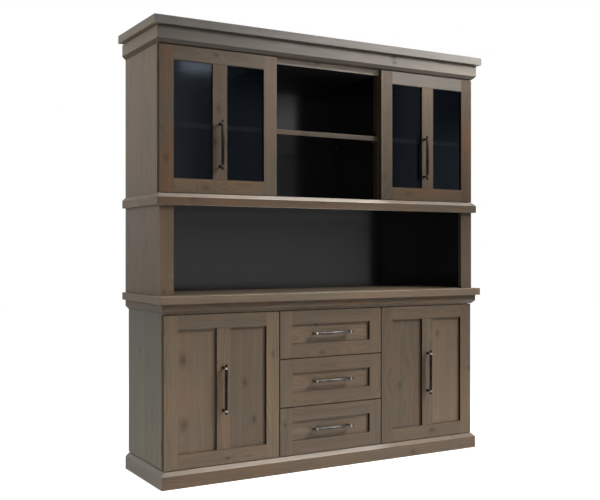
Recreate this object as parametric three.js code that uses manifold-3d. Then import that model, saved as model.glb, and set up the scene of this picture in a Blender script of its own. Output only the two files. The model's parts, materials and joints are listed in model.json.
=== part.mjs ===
// A dresser with a hutch in knotty stained wood. The low case has three drawers between two panelled
// doors. The hutch on its counter has an open niche, a middle cubby and two glazed doors.
// Millimetres, +Z up. X runs across the front and Y from the front to the back. The origin is on the
// floor, at the middle of the width and of the depth.
import * as THREE from "three";
import { mergeVertices } from "three/addons/utils/BufferGeometryUtils.js";
import Module from "manifold-3d";

// Outline
const CASE_W = 1725; // low case over its side panels
const BASE_D = 452; // back plane to the faces of the low doors
const HUTCH_D = 440; // back plane to the faces of the glazed doors
const SIDE_STEP = 16; // each moulding beyond the one it caps, at the sides
const FRONT_STEP = 20; // and in front
const CROWN_LIP = 20; // crown beyond the frieze, on three sides
const CHAMFER = 16; // sloping edge of the plinth, apron, middle board and frieze

// Heights, from the floor up
const PLINTH_H = 75;
const BASE_FRONT_H = 680; // low doors, and the stack of drawers between them
const APRON_H = 46;
const COUNTER_T = 35;
const NICHE_H = 398;
const MID_BOARD_T = 52;
const HUTCH_DOOR_H = 649;
const FRIEZE_H = 75;
const CROWN_T = 37;
const FOOT_GAP = 2; // under a door
const HEAD_GAP = 3; // over a door
const FRONT_GAP = 3; // between neighbouring fronts

// Boards of both cases
const BOARD = 22;
const BACK_T = 6;
const BACK_LAP = 10; // back panel's hold in the side panels' rebates
const PLINTH_RAIL = 60;
const BAY_HALF = 288; // middle of the front to the joint between drawers and door
const CUBBY_HALF = 293; // half the cubby's inner width
const CUBBY_REVEAL = 3; // divider edge left showing beside a glazed door
const HUTCH_TOP_T = 28;
const INNER_SETBACK = 6; // shelves and top of the hutch behind its front edges
const BASE_SHELF_Z = 430; // undersides of the shelves, from the floor
const HUTCH_SHELF_Z = 1588.5;
const BASE_SHELF_SETBACK = 20;
const POST_W = 68; // posts at the niche's two sides

// Door leaves and drawer fronts
const LEAF_T = 22;
const LEAF_GAP = 2; // from a closed leaf's back to the case's front edges
const STILE = 68;
const BASE_RAIL = 67;
const BASE_MULLION = 66;
const HUTCH_RAIL = 65;
const HUTCH_MULLION = 71;
const PANEL_RECESS = 13;
const SEAT_LAP = 9; // panel or pane beyond its opening
const GLASS_T = 4;
const GLASS_RECESS = 7;

// Drawers
const DRAWERS = 3;
const BOX_D = 380;
const BOX_H = 150;
const BOX_LIFT = 34; // box's underside above the lower edge of its front
const BOX_WALL = 12;
const BOX_FLOOR = 6;
const BOX_FLOOR_LIFT = 8;
const BOX_CLEAR = 1.5; // beside the box
const RUNNER_H = 10;
const RUNNER_HOLD = 8.2; // runner's reach out of the divider
const RUNNER_SETBACK = 24; // behind the front edge of the divider

// Bar pulls, turned
const PULL_SPAN = 192; // post to post
const PULL_REACH = 30; // mounting face to the middle of the bar
const BAR_R = 5;
const COLLAR_R = 7.5;
const COLLAR_W = 9;
const COLLAR_EASE = 1.5;
const NECK_R = 3.8;
const NECK_L = 2.5;
const TIP_R = 5.6;
const TIP_L = 13;
const POST_R = 4.5;
const ROSETTE_R = 8;
const ROSETTE_T = 3;
const HUTCH_PULL_DROP = 104; // glazed doors' pulls below the middle of the door
const HUTCH_PULL_INSET = { left: 0, right: 24 }; // from the mullion's middle towards the cubby

// Hinges: a barrel on each outer corner, with a leaf on the case and a knuckle on the door
const HINGE_H = 60;
const HINGE_END = 100; // hinge's middle from the end of its door
const KNUCKLES = 3;
const KNUCKLE_R = 2.6;
const PIN_R = 1.2;
const HINGE_LEAF_W = 20;

// Clearances and counts
const FIT = 0.3;
const OVERRUN = 5; // how far a cut runs past what it cuts
const MERGE = 1e-3;
const TURN_SIDES = 16; // facets round a turned piece
const PIN_SIDES = 12;
const TIP_STEPS = 5;

// Places that follow from the sizes
const BACK_Y = (BASE_D + 2 * FRONT_STEP) / 2;
const PANEL_BACK_Y = BACK_Y - BACK_T;
const BASE_FACE_Y = BACK_Y - BASE_D;
const HUTCH_FACE_Y = BACK_Y - HUTCH_D;
const BASE_EDGE_Y = BASE_FACE_Y + LEAF_T + LEAF_GAP;
const HUTCH_EDGE_Y = HUTCH_FACE_Y + LEAF_T + LEAF_GAP;
const BASE_X = CASE_W / 2;
const HUTCH_X = BASE_X + SIDE_STEP;
const COUNTER_X = HUTCH_X + SIDE_STEP;
const BASE_TOP_Z = PLINTH_H + FOOT_GAP + BASE_FRONT_H + HEAD_GAP + APRON_H;
const APRON_Z = BASE_TOP_Z - APRON_H;
const COUNTER_Z = BASE_TOP_Z + COUNTER_T;
const NICHE_TOP_Z = COUNTER_Z + NICHE_H;
const HUTCH_FLOOR_Z = NICHE_TOP_Z + MID_BOARD_T;
const HUTCH_DOOR_Z = HUTCH_FLOOR_Z + FOOT_GAP;
const FRIEZE_Z = HUTCH_DOOR_Z + HUTCH_DOOR_H + HEAD_GAP;
const CROWN_Z = FRIEZE_Z + FRIEZE_H;
const BAY_X = BAY_HALF - BOARD / 2;
const SIDES = { left: -1, right: 1 };

// Finishes as the eye sees them
const WOOD = { color: 0x6e6255, roughness: 0.6, metalness: 0 };
const BLACK_PANEL = { color: 0x24231f, roughness: 0.35, metalness: 0 };
const BOX_WOOD = { color: 0x9c8466, roughness: 0.6, metalness: 0 };
const DARK_BRONZE = { color: 0x2e2723, roughness: 0.4, metalness: 0.8 };
const STEEL = { color: 0x8c8c88, roughness: 0.35, metalness: 0.9 };
const GLASS = { color: 0x1b2430, roughness: 0.05, metalness: 0, transparent: true, opacity: 0.4 };

const wasm = await Module();
wasm.setup();

// A closed geometry as a solid that can be joined and cut.
function solid(geometry) {
  const plain = geometry.clone();
  plain.deleteAttribute("normal");
  plain.deleteAttribute("uv");
  const merged = mergeVertices(plain, MERGE);
  return new wasm.Manifold(
    new wasm.Mesh({
      numProp: 3,
      vertProperties: merged.attributes.position.array,
      triVerts: new Uint32Array(merged.index.array),
    }),
  );
}

// A solid as a geometry with flat faces.
function geometryOf(body) {
  const { vertProperties, triVerts } = body.getMesh();
  const shared = new THREE.BufferGeometry();
  shared.setAttribute("position", new THREE.BufferAttribute(vertProperties, 3));
  shared.setIndex(new THREE.BufferAttribute(triVerts, 1));
  const geometry = shared.toNonIndexed();
  geometry.computeVertexNormals();
  return geometry;
}

function cut(body, ...geometries) {
  return geometries.reduce((left, geometry) => left.subtract(solid(geometry)), body);
}

function join(...geometries) {
  return geometries.map(solid).reduce((all, next) => all.add(next));
}

function add(group, name, shape, finish) {
  const geometry = shape.isBufferGeometry ? shape : geometryOf(shape);
  const mesh = new THREE.Mesh(geometry, new THREE.MeshStandardMaterial(finish));
  mesh.name = name;
  group.add(mesh);
  return mesh;
}

// A board between two places on each axis. Its corners are set, not scaled, so that boards which
// share a plane share it exactly.
function block(x, y, z) {
  const geometry = new THREE.BoxGeometry();
  const { position } = geometry.attributes;
  const pick = (value, [low, high]) => (value > 0 ? high : low);
  for (let i = 0; i < position.count; i++) {
    position.setXYZ(
      i,
      pick(position.getX(i), x),
      pick(position.getY(i), y),
      pick(position.getZ(i), z),
    );
  }
  return geometry;
}

// A board with a rectangle of its own in the top face: the part where nothing stands on it.
function fieldBoard(x, y, z, field) {
  const ring = ([west, east], [front, back], level) => [
    [west, front, level],
    [east, front, level],
    [east, back, level],
    [west, back, level],
  ];
  const rings = [ring(x, y, z[0]), ring(x, y, z[1]), ring(field.x, field.y, z[1])];
  const faces = [rings[0].toReversed(), rings[2]];
  rings.slice(1).forEach((inner, level) => {
    const outer = rings[level];
    outer.forEach((corner, i) => {
      const next = (i + 1) % outer.length;
      faces.push([corner, outer[next], inner[next], inner[i]]);
    });
  });
  const corners = faces.flatMap(([a, b, c, d]) => [a, b, c, a, c, d]);
  const geometry = new THREE.BufferGeometry();
  geometry.setAttribute("position", new THREE.Float32BufferAttribute(corners.flat(), 3));
  geometry.computeVertexNormals();
  return geometry;
}

// An outline run along one axis from low to high. It is drawn in (y, z) across x, in (z, x) across y
// and in (x, y) across z.
function prism(axis, outline, [low, high]) {
  const shape = new THREE.Shape(outline.map(([a, b]) => new THREE.Vector2(a, b)));
  const geometry = new THREE.ExtrudeGeometry(shape, { depth: 1, bevelEnabled: false });
  const { position } = geometry.attributes;
  const first = ["x", "y", "z"].indexOf(axis) + 1;
  for (let i = 0; i < position.count; i++) {
    const drawn = [position.getX(i), position.getY(i), position.getZ(i) > 0 ? high : low];
    const placed = [0, 0, 0];
    drawn.forEach((value, k) => {
      placed[(first + k) % placed.length] = value;
    });
    position.setXYZ(i, ...placed);
  }
  return geometry;
}

// A round bar that stands on the plane z = low.
function round(radius, [low, high], sides) {
  const geometry = new THREE.CylinderGeometry(radius, radius, high - low, sides);
  return geometry.rotateX(Math.PI / 2).translate(0, 0, (low + high) / 2);
}

// From a distance off the middle of the front to a span of x on one side of it.
function across(sign, inner, outer) {
  return sign > 0 ? [inner, outer] : [-outer, -inner];
}

function grown([low, high], by) {
  return [low - by, high + by];
}

// A slab whose front and side edges slope at its top or its foot, mitred at the corners. The side
// section meets the front elevation, and what both hold is the slab.
function mouldedSlab(halfX, frontY, [low, high], slopeAt) {
  const atTop = slopeAt === "top";
  const plain = atTop ? low : high;
  const sloped = atTop ? high : low;
  const turn = sloped + (atTop ? -CHAMFER : CHAMFER);
  const section = [
    [frontY, plain],
    [BACK_Y, plain],
    [BACK_Y, sloped],
    [frontY + CHAMFER, sloped],
    [frontY, turn],
  ];
  const elevation = [
    [plain, -halfX],
    [plain, halfX],
    [turn, halfX],
    [sloped, halfX - CHAMFER],
    [sloped, CHAMFER - halfX],
    [turn, -halfX],
  ];
  const profile = solid(prism("x", section, [-halfX, halfX]));
  return profile.intersect(solid(prism("y", elevation, [frontY, BACK_Y])));
}

// A side panel in plan, with the rebate that takes the back panel.
function sidePlan(sign, outerX, frontY) {
  const innerX = outerX - BOARD;
  const plan = [
    [innerX, frontY],
    [outerX, frontY],
    [outerX, BACK_Y],
    [innerX + BACK_LAP, BACK_Y],
    [innerX + BACK_LAP, PANEL_BACK_Y],
    [innerX, PANEL_BACK_Y],
  ];
  return plan.map(([x, y]) => [sign * x, y]);
}

// Heights of the middles of a door's hinges.
function hingeHeights(doorZ, doorH) {
  return [doorZ + HINGE_END, doorZ + doorH - HINGE_END];
}

// Room for the barrels in the front corner of a side panel.
function barrelRoom(sign, outerX, edgeY, doorZ, doorH) {
  return hingeHeights(doorZ, doorH).map((z) =>
    round(KNUCKLE_R + FIT, grown([0, 0], HINGE_H / 2 + FIT), PIN_SIDES).translate(
      sign * outerX,
      edgeY - LEAF_GAP / 2,
      z,
    ),
  );
}

// Plinth: a ring of rails with a bearer across its middle.
function plinth() {
  const slab = mouldedSlab(HUTCH_X, BASE_FACE_Y - FRONT_STEP, [0, PLINTH_H], "top");
  const wells = Object.values(SIDES).map((sign) =>
    block(
      across(sign, PLINTH_RAIL / 2, HUTCH_X - PLINTH_RAIL),
      [BASE_FACE_Y - FRONT_STEP + PLINTH_RAIL, BACK_Y - PLINTH_RAIL],
      grown([0, PLINTH_H], OVERRUN),
    ),
  );
  return cut(slab, ...wells);
}

// Heights of the drawer fronts' lower edges.
function drawerHeight() {
  return (BASE_FRONT_H - (DRAWERS - 1) * FRONT_GAP) / DRAWERS;
}

function drawerFeet() {
  const lowest = PLINTH_H + FOOT_GAP;
  return Array.from({ length: DRAWERS }, (_, i) => lowest + i * (drawerHeight() + FRONT_GAP));
}

function buildBase(group) {
  const innerX = BASE_X - BOARD;
  const depth = [BASE_EDGE_Y, PANEL_BACK_Y];
  const doorZ = PLINTH_H + FOOT_GAP;
  const floorZ = PLINTH_H + BOARD;
  const ceilingZ = BASE_TOP_Z - BOARD;
  add(group, "plinth", plinth(), WOOD);
  add(group, "base_bottom", block([-innerX, innerX], depth, [PLINTH_H, floorZ]), WOOD);
  add(group, "base_top", block([-innerX, innerX], depth, [ceilingZ, BASE_TOP_Z]), WOOD);
  const backX = innerX + BACK_LAP;
  const backBoard = block([-backX, backX], [PANEL_BACK_Y, BACK_Y], [PLINTH_H, BASE_TOP_Z]);
  add(group, "base_back", backBoard, BLACK_PANEL);
  for (const [side, sign] of Object.entries(SIDES)) {
    const panel = solid(prism("z", sidePlan(sign, BASE_X, BASE_EDGE_Y), [PLINTH_H, BASE_TOP_Z]));
    const room = barrelRoom(sign, BASE_X, BASE_EDGE_Y, doorZ, BASE_FRONT_H);
    add(group, `base_side_${side}`, cut(panel, ...room), WOOD);
    const divider = block(across(sign, BAY_X, BAY_X + BOARD), depth, [floorZ, ceilingZ]);
    const runners = drawerFeet().map((z) => {
      const middle = z + BOX_LIFT + BOX_H / 2;
      return block(
        across(sign, BAY_X - RUNNER_HOLD, BAY_X + BOARD / 2),
        [BASE_EDGE_Y + RUNNER_SETBACK, PANEL_BACK_Y],
        grown([middle, middle], RUNNER_H / 2),
      );
    });
    add(group, `base_divider_${side}`, join(divider, ...runners), WOOD);
    const shelf = block(
      across(sign, BAY_X + BOARD, innerX),
      [BASE_EDGE_Y + BASE_SHELF_SETBACK, PANEL_BACK_Y],
      [BASE_SHELF_Z, BASE_SHELF_Z + BOARD],
    );
    add(group, `base_shelf_${side}`, shelf, WOOD);
  }
  const apron = mouldedSlab(HUTCH_X, BASE_FACE_Y - FRONT_STEP, [APRON_Z, BASE_TOP_Z], "foot");
  const casing = block(
    [-BASE_X, BASE_X],
    [BASE_EDGE_Y, BACK_Y + OVERRUN],
    grown([APRON_Z, BASE_TOP_Z], OVERRUN),
  );
  add(group, "apron_moulding", cut(apron, casing), WOOD);
  const counterY = BASE_FACE_Y - 2 * FRONT_STEP;
  const counterSpans = [[-COUNTER_X, COUNTER_X], [counterY, BACK_Y], [BASE_TOP_Z, COUNTER_Z]];
  const nicheFloor = {
    x: [POST_W - HUTCH_X, HUTCH_X - POST_W],
    y: [counterY + FRONT_STEP, PANEL_BACK_Y],
  };
  add(group, "counter_top", fieldBoard(...counterSpans, nicheFloor), WOOD);
}

// A side panel of the hutch, with the post that frames the niche in front of it.
function hutchSide(sign) {
  const panel = prism("z", sidePlan(sign, HUTCH_X, HUTCH_EDGE_Y), [COUNTER_Z, CROWN_Z]);
  const post = block(
    across(sign, HUTCH_X - POST_W, HUTCH_X),
    [HUTCH_FACE_Y, HUTCH_EDGE_Y],
    [COUNTER_Z, NICHE_TOP_Z],
  );
  const room = barrelRoom(sign, HUTCH_X, HUTCH_EDGE_Y, HUTCH_DOOR_Z, HUTCH_DOOR_H);
  return cut(join(panel, post), ...room);
}

// The board between niche and doors runs out past the side panels, which pass through its slots.
function midBoard() {
  const span = [NICHE_TOP_Z, HUTCH_FLOOR_Z];
  const slab = mouldedSlab(COUNTER_X, HUTCH_FACE_Y - FRONT_STEP, span, "top");
  const slots = Object.values(SIDES).map((sign) =>
    block(
      across(sign, HUTCH_X - BOARD, HUTCH_X),
      [HUTCH_EDGE_Y, BACK_Y + OVERRUN],
      grown(span, OVERRUN),
    ),
  );
  const behind = block([-HUTCH_X, HUTCH_X], [PANEL_BACK_Y, BACK_Y + OVERRUN], grown(span, OVERRUN));
  return cut(slab, ...slots, behind);
}

function buildHutch(group) {
  const innerX = HUTCH_X - BOARD;
  const shelfDepth = [HUTCH_EDGE_Y + INNER_SETBACK, PANEL_BACK_Y];
  const shelfZ = [HUTCH_SHELF_Z, HUTCH_SHELF_Z + BOARD];
  const ceiling = [FRIEZE_Z - HUTCH_TOP_T, FRIEZE_Z];
  const backX = innerX + BACK_LAP;
  add(group, "mid_board", midBoard(), WOOD);
  const backBoard = block([-backX, backX], [PANEL_BACK_Y, BACK_Y], [COUNTER_Z, CROWN_Z]);
  add(group, "hutch_back", backBoard, BLACK_PANEL);
  add(group, "hutch_top", block([-innerX, innerX], shelfDepth, ceiling), WOOD);
  const cubbyShelf = block([-CUBBY_HALF, CUBBY_HALF], shelfDepth, shelfZ);
  add(group, "hutch_shelf_centre", cubbyShelf, WOOD);
  for (const [side, sign] of Object.entries(SIDES)) {
    add(group, `hutch_side_${side}`, hutchSide(sign), WOOD);
    const divider = block(
      across(sign, CUBBY_HALF, CUBBY_HALF + BOARD),
      [HUTCH_EDGE_Y, PANEL_BACK_Y],
      [HUTCH_FLOOR_Z, ceiling[0]],
    );
    add(group, `hutch_divider_${side}`, divider, WOOD);
    const shelf = block(across(sign, CUBBY_HALF + BOARD, innerX), shelfDepth, shelfZ);
    add(group, `hutch_shelf_${side}`, shelf, BLACK_PANEL);
  }
  const friezeY = HUTCH_FACE_Y - FRONT_STEP;
  const frieze = mouldedSlab(COUNTER_X, friezeY, [FRIEZE_Z, CROWN_Z], "foot");
  const casing = block(
    [-HUTCH_X, HUTCH_X],
    [HUTCH_EDGE_Y, BACK_Y + OVERRUN],
    grown([FRIEZE_Z, CROWN_Z], OVERRUN),
  );
  add(group, "frieze_moulding", cut(frieze, casing), WOOD);
  const crownX = COUNTER_X + CROWN_LIP;
  const crown = block([-crownX, crownX], [friezeY - CROWN_LIP, BACK_Y], [CROWN_Z, CROWN_Z + CROWN_T]);
  add(group, "crown_board", crown, WOOD);
}

// Openings of a framed leaf: one, or two with a mullion between them.
function lights({ x, z, rail, mullion }) {
  const clearZ = [z[0] + rail, z[1] - rail];
  const clearX = [x[0] + STILE, x[1] - STILE];
  if (!mullion) return [{ x: clearX, z: clearZ }];
  const middle = (clearX[0] + clearX[1]) / 2;
  return [
    { x: [clearX[0], middle - mullion / 2], z: clearZ },
    { x: [middle + mullion / 2, clearX[1]], z: clearZ },
  ];
}

// A leaf's frame with its face on the plane y = 0. Each light has a seat: a rebate open to the back
// for a panel, or a groove for glass.
function leafFrame(leaf, seat) {
  const frame = solid(block(leaf.x, [0, LEAF_T], leaf.z));
  const cuts = lights(leaf).flatMap(({ x, z }) => [
    block(x, grown([0, LEAF_T], OVERRUN), z),
    block(grown(x, SEAT_LAP), seat, grown(z, SEAT_LAP)),
  ]);
  return cut(frame, ...cuts);
}

const PANEL_SEAT = [PANEL_RECESS, LEAF_T + OVERRUN];
const PANEL_SPAN = [PANEL_RECESS, LEAF_T];
const GLASS_SEAT = [GLASS_RECESS, GLASS_RECESS + GLASS_T + 2 * FIT];
const GLASS_SPAN = [GLASS_RECESS + FIT, GLASS_RECESS + FIT + GLASS_T];

function inset({ x, z }, span) {
  return block(grown(x, SEAT_LAP - FIT), span, grown(z, SEAT_LAP - FIT));
}

// The turned bar, from its middle out to one end: shaft, collar, neck and rounded tip.
function barProfile() {
  const collarIn = PULL_SPAN / 2 - COLLAR_W / 2;
  const collarOut = collarIn + COLLAR_W;
  const tipStart = collarOut + NECK_L;
  const half = [
    [BAR_R, collarIn],
    [COLLAR_R - COLLAR_EASE, collarIn],
    [COLLAR_R, collarIn + COLLAR_EASE],
    [COLLAR_R, collarOut - COLLAR_EASE],
    [COLLAR_R - COLLAR_EASE, collarOut],
    [NECK_R, collarOut],
    [NECK_R, tipStart],
    [TIP_R, tipStart + NECK_L],
  ];
  const ballL = TIP_L - NECK_L - NECK_L;
  for (let i = 1; i <= TIP_STEPS; i++) {
    const angle = (i / TIP_STEPS) * (Math.PI / 2);
    const radius = i === TIP_STEPS ? 0 : TIP_R * Math.cos(angle);
    half.push([radius, tipStart + NECK_L + ballL * Math.sin(angle)]);
  }
  const other = half.map(([radius, along]) => [radius, -along]).reverse();
  return [...other, ...half].map(([radius, along]) => new THREE.Vector2(radius, along));
}

// A pull on the plane y = 0, its bar upright and out in front.
function pull() {
  const bar = new THREE.LatheGeometry(barProfile(), TURN_SIDES);
  bar.rotateX(Math.PI / 2).translate(0, -PULL_REACH, 0);
  const postProfile = [
    [0, 0],
    [ROSETTE_R, 0],
    [ROSETTE_R, ROSETTE_T / 2],
    [POST_R, ROSETTE_T],
    [POST_R, PULL_REACH],
    [0, PULL_REACH],
  ].map(([radius, along]) => new THREE.Vector2(radius, along));
  const posts = [-PULL_SPAN / 2, PULL_SPAN / 2].map((z) =>
    new THREE.LatheGeometry(postProfile, TURN_SIDES).rotateX(Math.PI).translate(0, 0, z),
  );
  return join(bar, ...posts);
}

// One knuckle of a hinge's barrel, between two heights.
function knuckle(span) {
  return round(KNUCKLE_R, span, PIN_SIDES);
}

function knuckleSpans() {
  const pitch = HINGE_H / KNUCKLES;
  const foot = -HINGE_H / 2;
  return Array.from({ length: KNUCKLES }, (_, i) => [foot + i * pitch, foot + (i + 1) * pitch]);
}

// The case's half of a hinge, about its own pin: every other knuckle, the leaf and the pin.
function caseHinge(sign) {
  const halfT = LEAF_GAP / 2 - FIT;
  const half = [-HINGE_H / 2, HINGE_H / 2];
  const leaf = block(across(-sign, 0, HINGE_LEAF_W), [-halfT, halfT], half);
  const spans = knuckleSpans();
  const room = spans
    .filter((_, i) => i % 2 === 1)
    .map((span) => round(KNUCKLE_R + FIT, grown(span, FIT), PIN_SIDES));
  const knuckles = spans.filter((_, i) => i % 2 === 0).map(knuckle);
  const pin = round(PIN_R, half, PIN_SIDES);
  return cut(solid(leaf), ...room).add(join(pin, ...knuckles));
}

// The door's share of its hinges: a bored knuckle at each, and room for the knuckles of the case.
function hangLeaf(frame, doorH) {
  const axisY = LEAF_T + LEAF_GAP / 2;
  const spans = hingeHeights(0, doorH).flatMap((z) =>
    knuckleSpans().map((span, i) => ({ span: span.map((end) => end + z), own: i % 2 === 1 })),
  );
  const shift = (geometry) => geometry.translate(0, axisY, 0);
  const own = spans.filter((entry) => entry.own).map(({ span }) => grown(span, -FIT));
  const other = spans.filter((entry) => !entry.own).map(({ span }) => grown(span, FIT));
  const room = other.map((span) => shift(round(KNUCKLE_R + FIT, span, PIN_SIDES)));
  const knuckles = own.map((span) => solid(shift(knuckle(span))));
  const joined = knuckles.reduce((all, next) => all.add(next), cut(frame, ...room));
  const bores = own.map((span) => shift(round(PIN_R + FIT, grown(span, OVERRUN), PIN_SIDES)));
  return cut(joined, ...bores);
}

// A door stands in a group at its hinge line, and reaches from there towards the middle.
function buildDoor(parent, door) {
  const { name, sign, outerX, width, faceY, z, height, seat, span, insert, finish } = door;
  const group = new THREE.Group();
  group.position.set(sign * outerX, faceY, z);
  parent.add(group);
  const leaf = {
    x: across(-sign, 0, width),
    z: [0, height],
    rail: door.rail,
    mullion: door.mullion,
  };
  add(group, `${name}_frame`, hangLeaf(leafFrame(leaf, seat), height), WOOD);
  lights(leaf).forEach((light, i) => {
    add(group, `${name}_${insert}_${i + 1}`, inset(light, span), finish);
  });
  const bar = add(group, `${name}_pull`, pull(), DARK_BRONZE);
  bar.position.set(-sign * (width / 2 + door.pullInset), 0, height / 2 - door.pullDrop);
}

function buildDoors(parent) {
  for (const [side, sign] of Object.entries(SIDES)) {
    buildDoor(parent, {
      name: `base_door_${side}`,
      sign,
      outerX: BASE_X,
      width: BASE_X - BAY_HALF - FRONT_GAP / 2,
      faceY: BASE_FACE_Y,
      z: PLINTH_H + FOOT_GAP,
      height: BASE_FRONT_H,
      rail: BASE_RAIL,
      mullion: BASE_MULLION,
      seat: PANEL_SEAT,
      span: PANEL_SPAN,
      insert: "panel",
      finish: WOOD,
      pullInset: 0,
      pullDrop: 0,
    });
    buildDoor(parent, {
      name: `glass_door_${side}`,
      sign,
      outerX: HUTCH_X,
      width: HUTCH_X - CUBBY_HALF - CUBBY_REVEAL,
      faceY: HUTCH_FACE_Y,
      z: HUTCH_DOOR_Z,
      height: HUTCH_DOOR_H,
      rail: HUTCH_RAIL,
      mullion: HUTCH_MULLION,
      seat: GLASS_SEAT,
      span: GLASS_SPAN,
      insert: "pane",
      finish: GLASS,
      pullInset: HUTCH_PULL_INSET[side],
      pullDrop: HUTCH_PULL_DROP,
    });
  }
}

function buildHinges(parent) {
  const levels = ["lower", "upper"];
  for (const [side, sign] of Object.entries(SIDES)) {
    const places = {
      base: [BASE_X, BASE_EDGE_Y, PLINTH_H + FOOT_GAP, BASE_FRONT_H],
      glass: [HUTCH_X, HUTCH_EDGE_Y, HUTCH_DOOR_Z, HUTCH_DOOR_H],
    };
    for (const [row, [x, edgeY, doorZ, doorH]] of Object.entries(places)) {
      hingeHeights(doorZ, doorH).forEach((z, i) => {
        const name = `${row}_hinge_${side}_${levels[i]}`;
        const hinge = add(parent, name, caseHinge(sign), STEEL);
        hinge.position.set(sign * x, edgeY - LEAF_GAP / 2, z);
      });
    }
  }
}

// An open box of four walls and a floor, with a groove along each side for its runner.
function drawerBox() {
  const halfX = BAY_X - BOX_CLEAR;
  const y = [LEAF_T, LEAF_T + BOX_D];
  const z = [BOX_LIFT, BOX_LIFT + BOX_H];
  const floorZ = z[0] + BOX_FLOOR_LIFT;
  const inner = block(
    [BOX_WALL - halfX, halfX - BOX_WALL],
    grown(y, -BOX_WALL),
    [floorZ + BOX_FLOOR, z[1] + OVERRUN],
  );
  const under = block(
    [BOX_WALL - halfX, halfX - BOX_WALL],
    grown(y, -BOX_WALL),
    [z[0] - OVERRUN, floorZ],
  );
  const middle = (z[0] + z[1]) / 2;
  const grooves = Object.values(SIDES).map((sign) =>
    block(
      across(sign, BAY_X - RUNNER_HOLD - FIT, halfX + OVERRUN),
      [LEAF_T + LEAF_GAP + RUNNER_SETBACK - FIT, y[1] + OVERRUN],
      grown([middle, middle], RUNNER_H / 2 + FIT),
    ),
  );
  return cut(solid(block([-halfX, halfX], y, z)), inner, under, ...grooves);
}

function buildDrawers(parent) {
  const height = drawerHeight();
  const halfX = BAY_HALF - FRONT_GAP / 2;
  const leaf = { x: [-halfX, halfX], z: [0, height], rail: BASE_RAIL, mullion: 0 };
  const [light] = lights(leaf);
  drawerFeet()
    .reverse()
    .forEach((z, i) => {
      const name = `drawer_${i + 1}`;
      const group = new THREE.Group();
      group.position.set(0, BASE_FACE_Y, z);
      parent.add(group);
      add(group, `${name}_frame`, leafFrame(leaf, PANEL_SEAT), WOOD);
      add(group, `${name}_panel`, inset(light, PANEL_SPAN), WOOD);
      add(group, `${name}_box`, drawerBox(), BOX_WOOD);
      const bar = add(group, `${name}_pull`, pull(), DARK_BRONZE);
      bar.rotation.y = Math.PI / 2;
      bar.position.set(0, PANEL_RECESS, height / 2);
    });
}

const dresser = new THREE.Group();
buildBase(dresser);
buildHutch(dresser);
buildDoors(dresser);
buildHinges(dresser);
buildDrawers(dresser);

export default dresser;
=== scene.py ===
"""Dresser with hutch: the looks of the part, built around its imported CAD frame.

The frame is in metres, +Z up, with the front towards -Y. Sizes in this file are in millimetres in
the same frame, and are turned to metres where a mesh is written.
"""

import json
import logging
import math
import random
from collections.abc import Iterable, Mapping, Sequence
from dataclasses import dataclass, field, replace
from enum import Enum

import bpy
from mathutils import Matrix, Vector

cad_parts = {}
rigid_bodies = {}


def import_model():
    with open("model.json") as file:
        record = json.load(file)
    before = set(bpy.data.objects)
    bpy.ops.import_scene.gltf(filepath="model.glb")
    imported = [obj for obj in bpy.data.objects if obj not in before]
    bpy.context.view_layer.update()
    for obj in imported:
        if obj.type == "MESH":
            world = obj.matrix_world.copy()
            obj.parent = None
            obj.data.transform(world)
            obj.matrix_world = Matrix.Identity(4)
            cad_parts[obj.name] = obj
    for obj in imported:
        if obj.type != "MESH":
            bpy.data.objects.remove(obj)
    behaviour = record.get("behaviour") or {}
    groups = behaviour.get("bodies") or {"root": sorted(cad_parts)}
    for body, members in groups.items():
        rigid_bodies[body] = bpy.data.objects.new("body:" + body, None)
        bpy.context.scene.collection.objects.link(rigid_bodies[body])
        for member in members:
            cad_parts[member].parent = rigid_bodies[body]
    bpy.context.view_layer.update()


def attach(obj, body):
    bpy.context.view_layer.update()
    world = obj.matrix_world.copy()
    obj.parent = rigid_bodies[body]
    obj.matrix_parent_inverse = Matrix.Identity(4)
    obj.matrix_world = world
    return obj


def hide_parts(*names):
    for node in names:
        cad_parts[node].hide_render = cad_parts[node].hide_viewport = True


MM = 0.001
CABINET = "cabinet"  # the body that stands still
log = logging.getLogger("dresser")

Span = tuple[float, float]
Spans = tuple[Span, Span, Span]
Tree = bpy.types.NodeTree
Node = bpy.types.Node
Link = Node | bpy.types.NodeSocket | float | tuple[float, ...]  # what a node's input takes


def between(one: float, two: float) -> Span:
    """The span from the lower to the higher of two numbers."""
    return min(one, two), max(one, two)


def grown(span: Span, by: float) -> Span:
    """A span made longer at both ends."""
    return span[0] - by, span[1] + by


class Axis(Enum):
    """A direction of the frame, by its place in a vector."""

    X = 0
    Y = 1
    Z = 2

    @property
    def vector(self) -> Vector:
        """The direction as a vector."""
        return Vector([float(i == self.value) for i in range(3)])


class Side(Enum):
    """A side of the dresser, by the sign of X."""

    LEFT = -1
    RIGHT = 1

    @property
    def word(self) -> str:
        """The side's name in the names of pieces."""
        return self.name.lower()

    @property
    def out(self) -> Vector:
        """The direction from the middle to this side."""
        return Axis.X.vector * self.value

    def span(self, inner: float, outer: float) -> Span:
        """A span of X on this side, from two distances off the middle."""
        return between(self.value * inner, self.value * outer)


class Slot(Enum):
    """The record's material slots."""

    WOOD = "stained_wood"
    BLACK = "black_board"
    BOX = "drawer_wood"
    BRONZE = "dark_bronze"
    STEEL = "hinge_steel"
    GLASS = "tinted_glass"


# Nodes


def linear(code: str) -> tuple[float, float, float, float]:
    """Turns an sRGB hex colour to linear light.

    Args:
        code: Six hex digits after a hash.

    Returns:
        Red, green, blue and an alpha of 1.
    """
    shares = [int(code[i : i + 2], 16) / 255 for i in (1, 3, 5)]
    light = [s / 12.92 if s <= 0.04045 else ((s + 0.055) / 1.055) ** 2.4 for s in shares]
    return light[0], light[1], light[2], 1.0


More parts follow.
